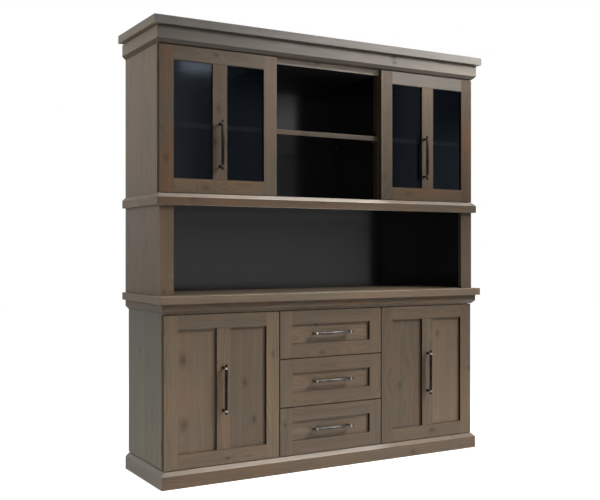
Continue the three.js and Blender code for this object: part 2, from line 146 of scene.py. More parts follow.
def add_node(
    tree: Tree, kind: str, inputs: Mapping[str, Link] | Sequence[Link] = (), **settings: object
) -> Node:
    """Adds a node with its settings and links.

    Args:
        tree: Node tree that the node joins.
        kind: Blender's name for the kind, less ShaderNode.
        inputs: The node or socket to link or a value, for inputs by name or for the first ones.
        **settings: Properties of the node, which are set before its inputs.

    Returns:
        The new node.
    """
    node = tree.nodes.new(f"ShaderNode{kind}")
    for name, value in settings.items():
        setattr(node, name, value)
    named = inputs if isinstance(inputs, Mapping) else dict(enumerate(inputs))
    for key, value in named.items():
        enabled = [socket for socket in node.inputs if socket.enabled]
        if isinstance(key, int):
            socket = enabled[key]
        else:
            socket = next(s for s in enabled if s.name == key)
        if isinstance(value, Node):
            value = next(s for s in value.outputs if s.enabled)
        if isinstance(value, bpy.types.NodeSocket):
            tree.links.new(value, socket)
        else:
            socket.default_value = value
    return node


# Finishes


@dataclass(frozen=True)
class Finish:
    """A finish, whose material is made when a piece first asks for it."""

    name: str

    def material(self) -> bpy.types.Material:
        """Finds the finish's material, or makes it.

        Returns:
            The material.
        """
        found = bpy.data.materials.get(self.name)
        if found:
            return found
        material = bpy.data.materials.new(self.name)
        material.use_nodes = True
        material.node_tree.nodes.clear()
        shader = self.shader(material.node_tree)
        add_node(material.node_tree, "OutputMaterial", {"Surface": shader})
        return material

    def shader(self, tree: Tree) -> Node:
        """Makes the finish's nodes.

        Args:
            tree: Empty node tree of the material.

        Returns:
            The node whose first output is the surface.
        """
        raise NotImplementedError


@dataclass(frozen=True)
class KnottyPine(Finish):
    """Knotty pine, sawn, planed and stained, under a thin satin lacquer.

    Each board carries its place in the log, so the year rings run through its faces, edges and
    ends alike, and part round its knots. The stain lies paler in the soft early wood and darker in
    the late wood. On the plain finishes it is worn a little along the edges; on the dark-edged ones
    the edges are painted shade, and on the pale-edged one a painted highlight.
    """

    early: str = "#675743"
    late: str = "#4a3d2b"
    warm: str = "#734f30"
    grey: str = "#78736d"
    knot: str = "#3a2412"
    edge: str = "#857460"  # what the eased edges turn to: wear on the plain finishes, painted shade or a painted highlight on the others
    glaze: float = 0.0  # how much more of the edges the edge colour covers, as painted shade or a painted highlight
    thinned_mm: tuple[Span, ...] = ()  # spans along the board in which the painted edge colour thins out
    thinnest: float = 0.2  # share of the painted edge colour beyond them
    lateness: float = 0.5  # share of the late wood's colour in it
    roughness: float = 0.37
    specular: float = 0.36
    ring_mm: float = 6.0
    ring_drift: float = 3.0  # how many years' width the rings' pace varies by
    rise: Span = (0.3, 0.9)  # part of the year in which the late wood darkens
    drop: Span = (0.92, 1.0)  # part in which the next early wood starts
    bend_mm: float = 50.0  # how far the log's middle wanders
    # The sizes below are across the grain and along it. Real fibres are a tenth as wide and
    # wouldn't show in the render, so they are drawn coarser.
    bends_mm: Span = (150.0, 420.0)
    fibre_mm: Span = (2.4, 96.0)
    streak_mm: Span = (30.0, 720.0)
    cloud_mm: Span = (90.0, 270.0)
    details: tuple[float, ...] = (2.0, 3.0, 2.0)  # finer layers of fibres, streaks and clouds
    contrasts: tuple[float, ...] = (0.24, 0.5, 0.3)  # how much they vary the tone
    patch: Span = (0.4, 0.62)  # cloud levels between which the stain warms
    knot_drawn: float = 0.62  # how a knot's surround is drawn out along the grain
    # Where a knot's shade and its core start and end, in its radii, and how strong they are there.
    halo: tuple[float, ...] = (0.8, 3.2, 0.72, 1.0)
    core: tuple[float, ...] = (0.5, 1.7, 0.55, 0.0)
    swell: float = 3.4  # how far the rings part round a knot, in its radii
    swell_fall: float = 0.16  # how fast that falls off with the square of the radii

    def shader(self, tree: Tree) -> Node:
        """Makes the wood's nodes from the attributes that each board carries.

        Args:
            tree: Empty node tree of the material.

        Returns:
            The surface's node.
        """
        grain = add_node(tree, "Attribute", attribute_name="grain").outputs["Vector"]
        pith = add_node(tree, "Attribute", attribute_name="pith").outputs["Vector"]
        eased = add_node(tree, "Attribute", attribute_name="eased").outputs["Fac"]
        place = add_node(tree, "VectorMath", (grain, pith), operation="ADD")
        rings, nearest = self.part_rings(tree, grain, self.measure_rings(tree, place))
        late = self.shade_years(tree, rings)
        noises = []
        sizes = (self.fibre_mm, self.streak_mm, self.cloud_mm)
        for (across, along), detail in zip(sizes, self.details):
            scale = (1 / along, 1 / across, 1 / across)
            at = add_node(tree, "VectorMath", (place, scale), operation="MULTIPLY")
            looks = {"Vector": at, "Scale": 1.0, "Detail": detail}
            noises.append(add_node(tree, "TexNoise", looks))
        fibre, streak, _ = noises

        # A knot shades the wood round it, and has a dark core with an uneven rim.
        ragged = add_node(tree, "Math", (fibre, 0.5, nearest), operation="MULTIPLY_ADD")
        halo, core = (
            add_node(tree, "MapRange", (ragged, *levels), interpolation_type="SMOOTHSTEP")
            for levels in (self.halo, self.core)
        )
        stained = self.stain(tree, late, noises)
        shaded = add_node(tree, "VectorMath", {"Vector": stained, "Scale": halo}, operation="SCALE")
        mix = {"Factor": core, "A": shaded, "B": linear(self.knot)}
        knotted = add_node(tree, "Mix", mix, data_type="RGBA")

        # The edges take the edge colour: wear on the plain finishes, painted shade in gaps and
        # recesses on the dark-edged finishes, and a painted highlight on sloped tops on the
        # pale-edged finish.
        share = add_node(tree, "Math", (streak, self.glaze), operation="ADD")
        along = add_node(tree, "SeparateXYZ", (grain,)).outputs["X"]
        for span in self.thinned_mm:
            levels = (along, *span, 1.0, self.thinnest)
            kept = add_node(tree, "MapRange", levels, interpolation_type="SMOOTHSTEP")
            share = add_node(tree, "Math", (share, kept), operation="MULTIPLY")
        rubbed = add_node(tree, "Math", (eased, share), operation="MULTIPLY")
        mix = {"Factor": rubbed, "A": knotted, "B": linear(self.edge)}
        coloured = add_node(tree, "Mix", mix, data_type="RGBA")

        base = (fibre, 0.2, self.roughness - 0.1)
        rough = add_node(tree, "Math", base, operation="MULTIPLY_ADD")
        rough = add_node(tree, "Math", (eased, self.glaze, rough), operation="MULTIPLY_ADD")
        relief = add_node(tree, "Math", (late, 0.4, fibre), operation="MULTIPLY_ADD")
        sunk = add_node(tree, "Math", (relief, core), operation="SUBTRACT")
        bump = add_node(tree, "Bump", {"Strength": 0.3, "Distance": 0.4 * MM, "Height": sunk})
        surface = {
            "Base Color": coloured,
            "Roughness": rough,
            "Specular IOR Level": self.specular,
            "Normal": bump,
        }
        return add_node(tree, "BsdfPrincipled", surface)

    def measure_rings(self, tree: Tree, place: Node) -> Node:
        """Measures how far a point lies from the log's middle.

        The log bends and tapers, which gives flat-sawn boards their flames.

        Args:
            tree: Node tree that the nodes join.
            place: The point's place in the log.

        Returns:
            The node with the distance.
        """
        across, along = self.bends_mm
        scale = (1 / along, 1 / across, 1 / across)
        at = add_node(tree, "VectorMath", (place, scale), operation="MULTIPLY")
        bend = add_node(tree, "TexNoise", {"Vector": at, "Scale": 1.0, "Detail": 2.0})
        reach = (0.0, self.bend_mm, self.bend_mm)
        drift = (bend.outputs["Color"], reach, tuple(-far / 2 for far in reach))
        moved = add_node(tree, "VectorMath", drift, operation="MULTIPLY_ADD")
        flat = (place, (0.0, 1.0, 1.0), moved)
        section = add_node(tree, "VectorMath", flat, operation="MULTIPLY_ADD")
        return add_node(tree, "VectorMath", (section,), operation="LENGTH")

    def part_rings(self, tree: Tree, grain: Link, rings: Node) -> tuple[Node, Node]:
        """Parts the rings round each knot, over some three times the knot's own radius.

        Args:
            tree: Node tree that the nodes join.
            grain: The point's place on its board.
            rings: Distance from the log's middle.

        Returns:
            The node with the new distance, and the one with the way to the nearer knot in radii.
        """
        ways = []
        for name in ("knot_1", "knot_2"):
            knot = add_node(tree, "Attribute", attribute_name=name).outputs["Vector"]
            size = add_node(tree, "SeparateXYZ", (knot,)).outputs["Z"]
            radius = add_node(tree, "Math", (size, 0.01), operation="MAXIMUM")
            gap = add_node(tree, "VectorMath", (grain, knot), operation="SUBTRACT")
            drawn = (gap, (self.knot_drawn, 1.0, 0.0))
            flat = add_node(tree, "VectorMath", drawn, operation="MULTIPLY")
            off = add_node(tree, "VectorMath", (flat,), operation="LENGTH")
            way = add_node(tree, "Math", (off, radius), operation="DIVIDE")
            square = add_node(tree, "Math", (way, 2.0), operation="POWER")
            fall = add_node(tree, "Math", (square, -self.swell_fall), operation="MULTIPLY")
            share = add_node(tree, "Math", (fall,), operation="EXPONENT")
            swell = add_node(tree, "Math", (share, self.swell), operation="MULTIPLY")
            rings = add_node(tree, "Math", (swell, radius, rings), operation="MULTIPLY_ADD")
            ways.append(way)
        return rings, add_node(tree, "Math", ways, operation="MINIMUM")

    def shade_years(self, tree: Tree, rings: Node) -> Node:
        """Shades the years: slowly darker to the late wood, then a sharp start of the next.

        Args:
            tree: Node tree that the nodes join.
            rings: Distance from the log's middle.

        Returns:
            The node with the share of late wood.
        """
        years = add_node(tree, "Math", (rings, self.ring_mm), operation="DIVIDE")
        slow = {"W": years, "Scale": 0.35, "Detail": 1.0}
        uneven = add_node(tree, "TexNoise", slow, noise_dimensions="1D")
        drift = (uneven, self.ring_drift, years)
        shifted = add_node(tree, "Math", drift, operation="MULTIPLY_ADD")
        phase = add_node(tree, "Math", (shifted,), operation="FRACT")
        darker = (phase, *self.rise)
        rise = add_node(tree, "MapRange", darker, interpolation_type="SMOOTHSTEP")
        drop = add_node(tree, "MapRange", (phase, *self.drop, 1.0, 0.0))
        return add_node(tree, "Math", (rise, drop), operation="MULTIPLY")

    def stain(self, tree: Tree, late: Node, noises: Sequence[Node]) -> Node:
        """Colours the wood by the board's tint, and by its fibres, streaks and clouds.

        Args:
            tree: Node tree that the nodes join.
            late: Share of late wood.
            noises: The fibres, streaks and clouds.

        Returns:
            The node with the colour.
        """
        tint = add_node(tree, "Attribute", attribute_name="tint").outputs["Vector"]
        tone = add_node(tree, "SeparateXYZ", (tint,)).outputs
        dark = add_node(tree, "Math", (late, self.lateness), operation="MULTIPLY")
        patches = add_node(tree, "MapRange", (noises[-1], *self.patch))
        warmth = add_node(tree, "Math", (patches, tone["Y"]), operation="MULTIPLY")
        colour = linear(self.early)
        layers = ((dark, self.late), (warmth, self.warm), (tone["Z"], self.grey))
        for share, code in layers:
            mix = {"Factor": share, "A": colour, "B": linear(code)}
            colour = add_node(tree, "Mix", mix, data_type="RGBA")
        light = tone["X"]
        for noise, contrast in zip(noises, self.contrasts):
            spread = (noise, contrast, 1 - contrast / 2)
            share = add_node(tree, "Math", spread, operation="MULTIPLY_ADD")
            light = add_node(tree, "Math", (light, share), operation="MULTIPLY")
        return add_node(tree, "VectorMath", {"Vector": colour, "Scale": light}, operation="SCALE")


@dataclass(frozen=True)
class SatinLacquer(Finish):
    """Board sprayed with black lacquer.

    The spray leaves a faint orange peel, which softens the room's reflection in it.
    """

    colour: str = "#0d0d0d"
    dusty: str = "#141415"
    roughness: float = 0.16
    specular: float = 0.5
    peel_mm: float = 5.0  # a real peel is finer, and wouldn't show
    dust_mm: float = 240.0

    def shader(self, tree: Tree) -> Node:
        """Makes the lacquer's nodes.

        Args:
            tree: Empty node tree of the material.

        Returns:
            The surface's node.
        """
        grain = add_node(tree, "Attribute", attribute_name="grain").outputs["Vector"]
        peel, dust = (
            add_node(tree, "TexNoise", {"Vector": grain, "Scale": 1 / size, "Detail": detail})
            for size, detail in ((self.peel_mm, 1.0), (self.dust_mm, 3.0))
        )
        mix = {"Factor": dust, "A": linear(self.colour), "B": linear(self.dusty)}
        varied = (dust, 0.04, self.roughness - 0.02)
        surface = {
            "Base Color": add_node(tree, "Mix", mix, data_type="RGBA"),
            "Roughness": add_node(tree, "Math", varied, operation="MULTIPLY_ADD"),
            "Specular IOR Level": self.specular,
            "Normal": add_node(
                tree, "Bump", {"Strength": 0.04, "Distance": 0.1 * MM, "Height": peel}
            ),
        }
        return add_node(tree, "BsdfPrincipled", surface)


@dataclass(frozen=True)
class WorkedMetal(Finish):
    """Metal with a worked surface: patinated and rubbed bronze, or plated and browned steel.

    Fine tool marks and uneven handling break up its shine.
    """

    colour: str = "#171313"
    rubbed: str = "#272120"
    roughness: float = 0.4
    coat: float = 0.0  # clear wax or lacquer over it
    coat_roughness: float = 0.22
    mark_mm: float = 3.0
    touch_mm: float = 22.0
    touched: Span = (0.42, 0.66)  # noise levels between which handling shows

    def shader(self, tree: Tree) -> Node:
        """Makes the metal's nodes.

        Args:
            tree: Empty node tree of the material.

        Returns:
            The surface's node.
        """
        grain = add_node(tree, "Attribute", attribute_name="grain").outputs["Vector"]
        marks, touches = (
            add_node(tree, "TexNoise", {"Vector": grain, "Scale": 1 / size, "Detail": detail})
            for size, detail in ((self.mark_mm, 3.0), (self.touch_mm, 2.0))
        )
        patch = add_node(tree, "MapRange", (touches, *self.touched))
        mix = {"Factor": patch, "A": linear(self.colour), "B": linear(self.rubbed)}
        varied = (marks, 0.2, self.roughness - 0.1)
        surface = {
            "Base Color": add_node(tree, "Mix", mix, data_type="RGBA"),
            "Metallic": 1.0,
            "Roughness": add_node(tree, "Math", varied, operation="MULTIPLY_ADD"),
            "Coat Weight": self.coat,
            "Coat Roughness": self.coat_roughness,
            "Normal": add_node(
                tree, "Bump", {"Strength": 0.15, "Distance": 0.1 * MM, "Height": marks}
            ),
        }
        return add_node(tree, "BsdfPrincipled", surface)


@dataclass(frozen=True)
class GreyGlass(Finish):
    """Float glass tinted blue-grey in the melt, 4 mm thick.

    It lets through a share of the light, coloured once at each face, and mirrors the room by
    Fresnel's law. Faint cleaning haze breaks the mirror a little.
    """

    tint: str = "#d0d6dc"
    haze: str = "#18212b"
    mirror: str = "#c6d2e0"
    ior: float = 1.45
    roughness: float = 0.08
    veil: Span = (0.03, 0.2)  # least and most of the haze
    wipe_m: float = 1 / 9  # width of the wiped patches

    def shader(self, tree: Tree) -> Node:
        """Makes the glass's nodes.

        Args:
            tree: Empty node tree of the material.

        Returns:
            The surface's node.
        """
        at = add_node(tree, "TexCoord").outputs["Object"]
        wiped = add_node(
            tree, "TexNoise", {"Vector": at, "Scale": 1 / self.wipe_m, "Detail": 3.0}
        )
        varied = (wiped, 0.06, self.roughness - 0.03)
        rough = add_node(tree, "Math", varied, operation="MULTIPLY_ADD")
        body = add_node(tree, "BsdfTransparent", {"Color": linear(self.tint)})
        film = add_node(tree, "BsdfDiffuse", {"Color": linear(self.haze)})
        veil = add_node(tree, "MapRange", (wiped, 0.0, 1.0, *self.veil))
        veiled = add_node(tree, "MixShader", (veil, body, film))
        gloss = {"Color": linear(self.mirror), "Roughness": rough}
        mirror = add_node(tree, "BsdfAnisotropic", gloss)
        bounce = add_node(tree, "Fresnel", {"IOR": self.ior})
        return add_node(tree, "MixShader", (bounce, veiled, mirror))


# Brown stain over knots, rings and flames, with a soft shine.
STAINED = KnottyPine("stained_knotty_pine")
# On the doors and drawers the edges are painted dark: painted shade in each gap, joint and recess.
SHADE_EDGED = KnottyPine("glazed_knotty_pine", edge="#20150d", glaze=0.5)
# The side panels are left matt, so the room whitens them less.
MATT = KnottyPine("matt_knotty_pine", roughness=0.6, specular=0.15)
# The sides of the fronts and of the frieze are as matt, and keep the painted shade on their edges.
EDGED = replace(MATT, name="matt_glazed_pine", edge="#20150d", glaze=0.5)
# The low sides are a cooler grey.
COOL_GREY = replace(MATT, name="faded_knotty_pine", grey="#6b6c61")
# The sloped top edges are painted pale, most in the middle: a painted highlight of the light from
# above.
EDGE_LIT = KnottyPine(
    "worn_knotty_pine",
    edge="#c8beb1",
    glaze=0.5,
    thinned_mm=((-200.0, -1250.0), (220.0, 380.0)),
)
# The drawer boxes have no stain, and show the pale wood.
CLEAR = KnottyPine(
    "clear_lacquered_pine",
    early="#b39a76",
    late="#8f7048",
    warm="#b98f5c",
    knot="#553820",
    edge="#c2ab88",
)
# A black that mirrors the room softly.
BLACK = SatinLacquer("black_satin_lacquer")
# Boards that are hardly seen got one coat and stayed dull.
DULL = SatinLacquer("black_dull_lacquer", roughness=0.55, specular=0.2)
# Nearly black bronze, with a waxed gleam along the pulls.
BRONZE = WorkedMetal("patinated_bronze", coat=0.1)
# Drawer pulls: a lighter copy of the bronze as painted highlight, with a real coat and lower
# roughness.
LIT_BRONZE = WorkedMetal(
    "handled_bronze", colour="#2a2624", rubbed="#4b4745", roughness=0.3, coat=0.4
)
# The collars are rubbed bright.
RUBBED = WorkedMetal("rubbed_bronze", colour="#837b6f", rubbed="#c1b9ab", roughness=0.27)
# The glazed doors' collars are a darker copy of the rubbed bronze: painted shade.
SHADED_BRONZE = WorkedMetal("tarnished_bronze", colour="#4a4238", rubbed="#6a6054")
# Screws, nails and shelf pins gleam grey.
ZINC = WorkedMetal(
    "zinc_plated_steel", colour="#7b7c7c", rubbed="#a3a3a0", roughness=0.36, mark_mm=1.5
)
# The hinges are browned, so they stay quiet in the gaps beside the doors.
BROWNED = WorkedMetal(
    "browned_steel", colour="#4a423a", rubbed="#63584d", roughness=0.42, mark_mm=1.5
)
# Blue-grey panes that show the shelves faintly behind the room's reflection.
GLASS = GreyGlass("blue_grey_glass")


# Shapes


@dataclass(frozen=True)
class Shape:
    """A closed surface. Its faces along eased edges are marked."""

    points: list[Vector]
    faces: list[tuple[int, ...]]
    eased: list[float]


@dataclass(frozen=True)
class Lay:
    """Where a board lies: its middle, and its directions along and across the grain."""

    middle: Vector
    along: Vector
    across: Vector
    deep: Vector


THINNEST = 0.02  # least radius, so that no face closes up
ROUND = 0.3  # how far a quarter circle's middle lies in from its two edges, in radii


def loft(
    rings: Sequence[Sequence[Vector]],
    eased_bands: Iterable[int] = (),
    eased_sides: Mapping[int, float] | None = None,
) -> Shape:
    """Joins rings of points into a closed surface, with its faces outwards.

    Args:
        rings: Rings with equally many points, in order.
        eased_bands: Bands between rings that belong to eased edges.
        eased_sides: Marks of the rings' sides that belong to edges.

    Returns:
        The surface.
    """
    bands, marks = set(eased_bands), eased_sides or {}
    count = len(rings[0])
    points = [point for ring in rings for point in ring]
    faces = [tuple(reversed(range(count)))]
    eased = [0.0]
    for band in range(len(rings) - 1):
        foot = band * count
        for side in range(count):
            after = (side + 1) % count
            faces.append((foot + side, foot + after, foot + count + after, foot + count + side))
            eased.append(max(float(band in bands), marks.get(side, 0.0)))
    faces.append(tuple(range(len(points) - count, len(points))))
    eased.append(0.0)
    volume = 0.0
    for face in faces:
        first = points[face[0]]
        for one, two in zip(face[1:], face[2:]):
            volume += first.dot(points[one].cross(points[two]))
    if volume < 0:
        faces = [tuple(reversed(face)) for face in faces]
    return Shape(points, faces, eased)


def rounded(section: Sequence[Span], eases: Sequence[float], inset: float) -> list[Span]:
    """Draws a section with its corners rounded, and moved inwards as a whole.

    Args:
        section: Corners, anticlockwise.
        eases: Radius for each corner.
        inset: Distance inwards.

    Returns:
        Three points for each corner.
    """
    drawn: list[Span] = []
    for i, (corner, ease) in enumerate(zip(section, eases)):
        here = Vector(corner)
        before = (here - Vector(section[i - 1])).normalized()
        after = (Vector(section[(i + 1) % len(section)]) - here).normalized()
        inward = Vector((-before.y - after.y, before.x + after.x))
        here += inward * inset / (1 + before.dot(after))
        inward.normalize()
        half_turn = before.angle(after) / 2
        radius = max(ease - inset, THINNEST)
        reach = radius * math.tan(half_turn)
        sag = radius * (1 / math.cos(half_turn) - 1)
        convex = 1.0 if before.x * after.y > before.y * after.x else -1.0
        middle = here + inward * sag * convex
        drawn += [tuple(here - before * reach), tuple(middle), tuple(here + after * reach)]
    return drawn


@dataclass(frozen=True)
class Stick:
    """A length of board or moulding: a section run along its grain, with eased edges.

    The section's corners are distances along `out` and `up`. A skew shifts an end along the run
    for each millimetre outwards, which makes a mitre.
    """

    section: tuple[Span, ...]
    run: Span
    along: Vector
    out: Vector
    up: Vector
    skew: Span = (0.0, 0.0)
    eases: tuple[float, ...] = (1.0,)  # one for all corners, or one for each
    ends: Span = (0.3, 0.3)
    glazed: Mapping[int, float] = field(default_factory=dict)  # marks of the section's sides that take the finish's painted edge colour, shade or highlight

    @property
    def shape(self) -> Shape:
        """Runs the section along the stick.

        Returns:
            The stick's surface.
        """
        section, glazed = list(self.section), dict(self.glazed)
        eases = list(self.eases) if len(self.eases) > 1 else list(self.eases) * len(section)
        turns = [
            section[i - 1][0] * b - a * section[i - 1][1] for i, (a, b) in enumerate(section)
        ]
        if sum(turns) < 0:
            section.reverse()
            eases.reverse()
            last = len(section) - 2
            glazed = {(last - side) % len(section): mark for side, mark in glazed.items()}
        inner = min(a for a, _ in section)
        steps: list[tuple[int, float, float]] = []
        for end, sign in ((0, 1), (1, -1)):
            ease = self.ends[end]
            bow = ROUND * ease
            curve = [(end, ease, 0.0), (end, bow, sign * bow), (end, 0.0, sign * ease)]
            steps += curve[::sign] if ease else [(end, 0.0, 0.0)]
        rings = []
        for end, inset, shift in steps:
            foot = self.run[end] + shift
            rings.append(
                [
                    self.along * (foot + self.skew[end] * (a - inner)) + self.out * a + self.up * b
                    for a, b in rounded(section, eases, inset)
                ]
            )
        soft = {i for i, (one, two) in enumerate(zip(steps, steps[1:])) if one[0] == two[0]}
        arcs = {i: 1.0 for i in range(3 * len(section)) if i % 3 != 2 and eases[i // 3] >= 0.5}
        return loft(rings, soft, arcs | {3 * side + 2: mark for side, mark in glazed.items()})

    @property
    def spans(self) -> Spans:
        """The stick's length, and its spans outwards and upwards."""
        out, up = zip(*self.section)
        return self.run, (min(out), max(out)), (min(up), max(up))

    @property
    def lay(self) -> Lay:
        """Finds the stick's middle and directions.

        Returns:
            The lay, with the wider way across.
        """
        run, out, up = self.spans
        middle = self.along * sum(run) + self.out * sum(out) + self.up * sum(up)
        flat = out[1] - out[0] >= up[1] - up[0]
        across, deep = (self.out, self.up) if flat else (self.up, self.out)
        return Lay(middle / 2, self.along, across, deep)


def board(spans: Spans, grain: Axis, **form: object) -> Stick:
    """Lays out a square board.

    Args:
        spans: Spans of X, Y and Z.
        grain: Direction of the grain.
        **form: The stick's eases, ends and glazed sides (painted edges). Side 0 faces the lower
                second span.

    Returns:
        The stick.
    """
    a, b = (axis for axis in Axis if axis is not grain)
    low_a, high_a = spans[a.value]
    low_b, high_b = spans[b.value]
    section = ((low_a, low_b), (high_a, low_b), (high_a, high_b), (low_a, high_b))
    return Stick(section, spans[grain.value], grain.vector, a.vector, b.vector, **form)


def box(spans: Spans) -> Shape:
    """A plain box, for cutting."""
    return board(spans, Axis.Z, eases=(0.0,), ends=(0.0, 0.0)).shape


def split(span: Span, pitch: float) -> list[Span]:
    """Divides a span into equal parts.

    Args:
        span: Span to divide.
        pitch: About how long each part is.

    Returns:
        The parts, in order.
    """
    count = max(1, round((span[1] - span[0]) / pitch))
    step = (span[1] - span[0]) / count
    return [(span[0] + i * step, span[0] + (i + 1) * step) for i in range(count)]


def staves(
    spans: Spans, grain: Axis, across: Axis, pitch: float = 96.0, ends: Span = (0.3, 0.3)
) -> list[Stick]:
    """Lays out a wide board of staves glued edge to edge.

    Args:
        spans: Spans of X, Y and Z.
        grain: Direction of the grain.
        across: Direction in which the staves lie side by side.
        pitch: About how wide each stave is.
        ends: Easing of the ends.

    Returns:
        The staves, in order.
    """
    parts = split(spans[across.value], pitch)
    first = next(axis for axis in Axis if axis is not grain)
    laid = []
    for i, part in enumerate(parts):
        low = 1.0 if i == 0 else 0.15
        high = 1.0 if i == len(parts) - 1 else 0.15
        eases = (low, high, high, low) if across is first else (low, low, high, high)
        own = tuple(part if axis is across else spans[axis.value] for axis in Axis)
        laid.append(board(own, grain, eases=eases, ends=ends))
    return laid


def rod(radius: float, span: Span, rim: Span) -> list[Span]:
    """The profile of a rod with broken rims, of which so much is off its radius and length."""
    (low, high), (off, back) = span, rim
    return [(radius - off, low), (radius, low + back), (radius, high - back), (radius - off, high)]


def lathe(
    profile: Sequence[Span], axis: Vector, foot: Vector, sides: int = 32
) -> tuple[Shape, Lay]:
    """Turns a profile about an axis.

    Args:
        profile: Radius and distance along the axis, in order along it.
        axis: Direction of the axis.
        foot: Point of the axis at distance 0.
        sides: Facets round it.

    Returns:
        The turned shape and its lay.
    """
    one = axis.orthogonal().normalized()
    two = axis.cross(one)
    angles = [2 * math.pi * i / sides for i in range(sides)]
    rims = [one * math.cos(angle) + two * math.sin(angle) for angle in angles]
    rings = [
        [foot + axis * along + rim * max(radius, THINNEST) for rim in rims]
        for radius, along in profile
    ]
    return loft(rings), Lay(foot, axis, one, two)


def write_mesh(name: str, shapes: Sequence[Shape]) -> bpy.types.Mesh:
    """Writes shapes into one mesh, in metres.

    Args:
        name: Name of the mesh.
        shapes: Shapes to gather.

    Returns:
        The mesh, whose faces carry the mark of eased edges.
    """
    points: list[tuple[float, ...]] = []
    faces: list[tuple[int, ...]] = []
    for shape in shapes:
        base = len(points)
        points += [tuple(point * MM) for point in shape.points]
        faces += [tuple(base + i for i in face) for face in shape.faces]
    mesh = bpy.data.meshes.new(name)
    mesh.from_pydata(points, [], faces)
    marks = mesh.attributes.new("eased", "FLOAT", "FACE")
    marks.data.foreach_set("value", [mark for shape in shapes for mark in shape.eased])
    return mesh


def carve(shape: Shape, cutters: Sequence[Shape]) -> Shape:
    """Cuts shapes out of a shape.

    Args:
        shape: Shape to cut.
        cutters: Shapes to take away, clear of one another.

    Returns:
        What is left.
    """
    if not cutters:
        return shape
    objects = []
    for group in ([shape], cutters):
        objects.append(bpy.data.objects.new("carving", write_mesh("carving", group)))
        bpy.context.scene.collection.objects.link(objects[-1])
    cut = objects[0].modifiers.new("cut", "BOOLEAN")
    cut.operation = "DIFFERENCE"
    cut.solver = "EXACT"
    cut.object = objects[1]
    graph = bpy.context.evaluated_depsgraph_get()
    result = bpy.data.meshes.new_from_object(objects[0].evaluated_get(graph))
    marks = result.attributes.get("eased")
    carved = Shape(
        [vertex.co / MM for vertex in result.vertices],
        [tuple(polygon.vertices) for polygon in result.polygons],
        [item.value for item in marks.data] if marks else [0.0] * len(result.polygons),
    )
    spent = [item.data for item in objects] + [result]
    for item in objects:
        bpy.data.objects.remove(item)
    for mesh in spent:
        bpy.data.meshes.remove(mesh)
    return carved


# Timber

Knot = tuple[float, float, float]  # along and across from the board's middle, and radius
NO_KNOT: Knot = (0.0, 0.0, 0.0)
KNOT_PITCH = 2600  # length of board for each knot, on average, with two at most
KNOT_RADII = (4.0, 9.0)
LOG = 9000  # length of the log that all boards come from
PITH_OFF = (34, 120)  # how deep behind or before a board its pith lies
SHARP_DEG = 35.0  # edges of turned parts that are sharper than this stay sharp
SIDEWAYS = 0.95  # least share of X in the direction of a face that looks sideways


@dataclass(frozen=True)
class Look:
    """How a board looks: its lightness, its shares of orange-brown and grey, and its knots.

    The lightness may fade along the board, by a share of it either side of the middle. Where no
    knots are given, they fall by chance.
    """

    tone: float = 0.9
    warmth: float = 0.2
    grey: float = 0.1
    fade: float = 0.0
    knots: tuple[Knot, ...] | None = None


CLEAN = Look(knots=())  # without knots, as on lacquered boards


@dataclass(frozen=True)
class Timber:
    """A board's place in its log, and its look."""

    start: float  # along the log
    pith: Span  # from the log's middle to the board's, across and deep
    look: Look

    @classmethod
    def sawn(cls, label: str, length: float, width: float, look: Look) -> "Timber":
        """Picks a board from the log.

        Args:
            label: Name of the board, which settles what is picked.
            length: Length of the board.
            width: Width of the board.
            look: Its look, whose knots are picked if it has none of its own.

        Returns:
            The board's timber.
        """
        pick = random.Random(label)
        if look.knots is None:
            count = sum(pick.random() < length / KNOT_PITCH for _ in range(2))
            far, side = 0.45 * length, 0.45 * width
            spread = ((-far, far), (-side, side), KNOT_RADII)
            knots = [tuple(pick.uniform(*span) for span in spread) for _ in range(count)]
            look = replace(look, knots=tuple(knots))
        pith = (pick.uniform(-0.7, 0.7) * width, pick.choice((-1, 1)) * pick.uniform(*PITH_OFF))
        return cls(pick.uniform(0, LOG), pith, look)


TURNED = Timber(0.0, (0.0, 60.0), CLEAN)  # for parts without boards' figure


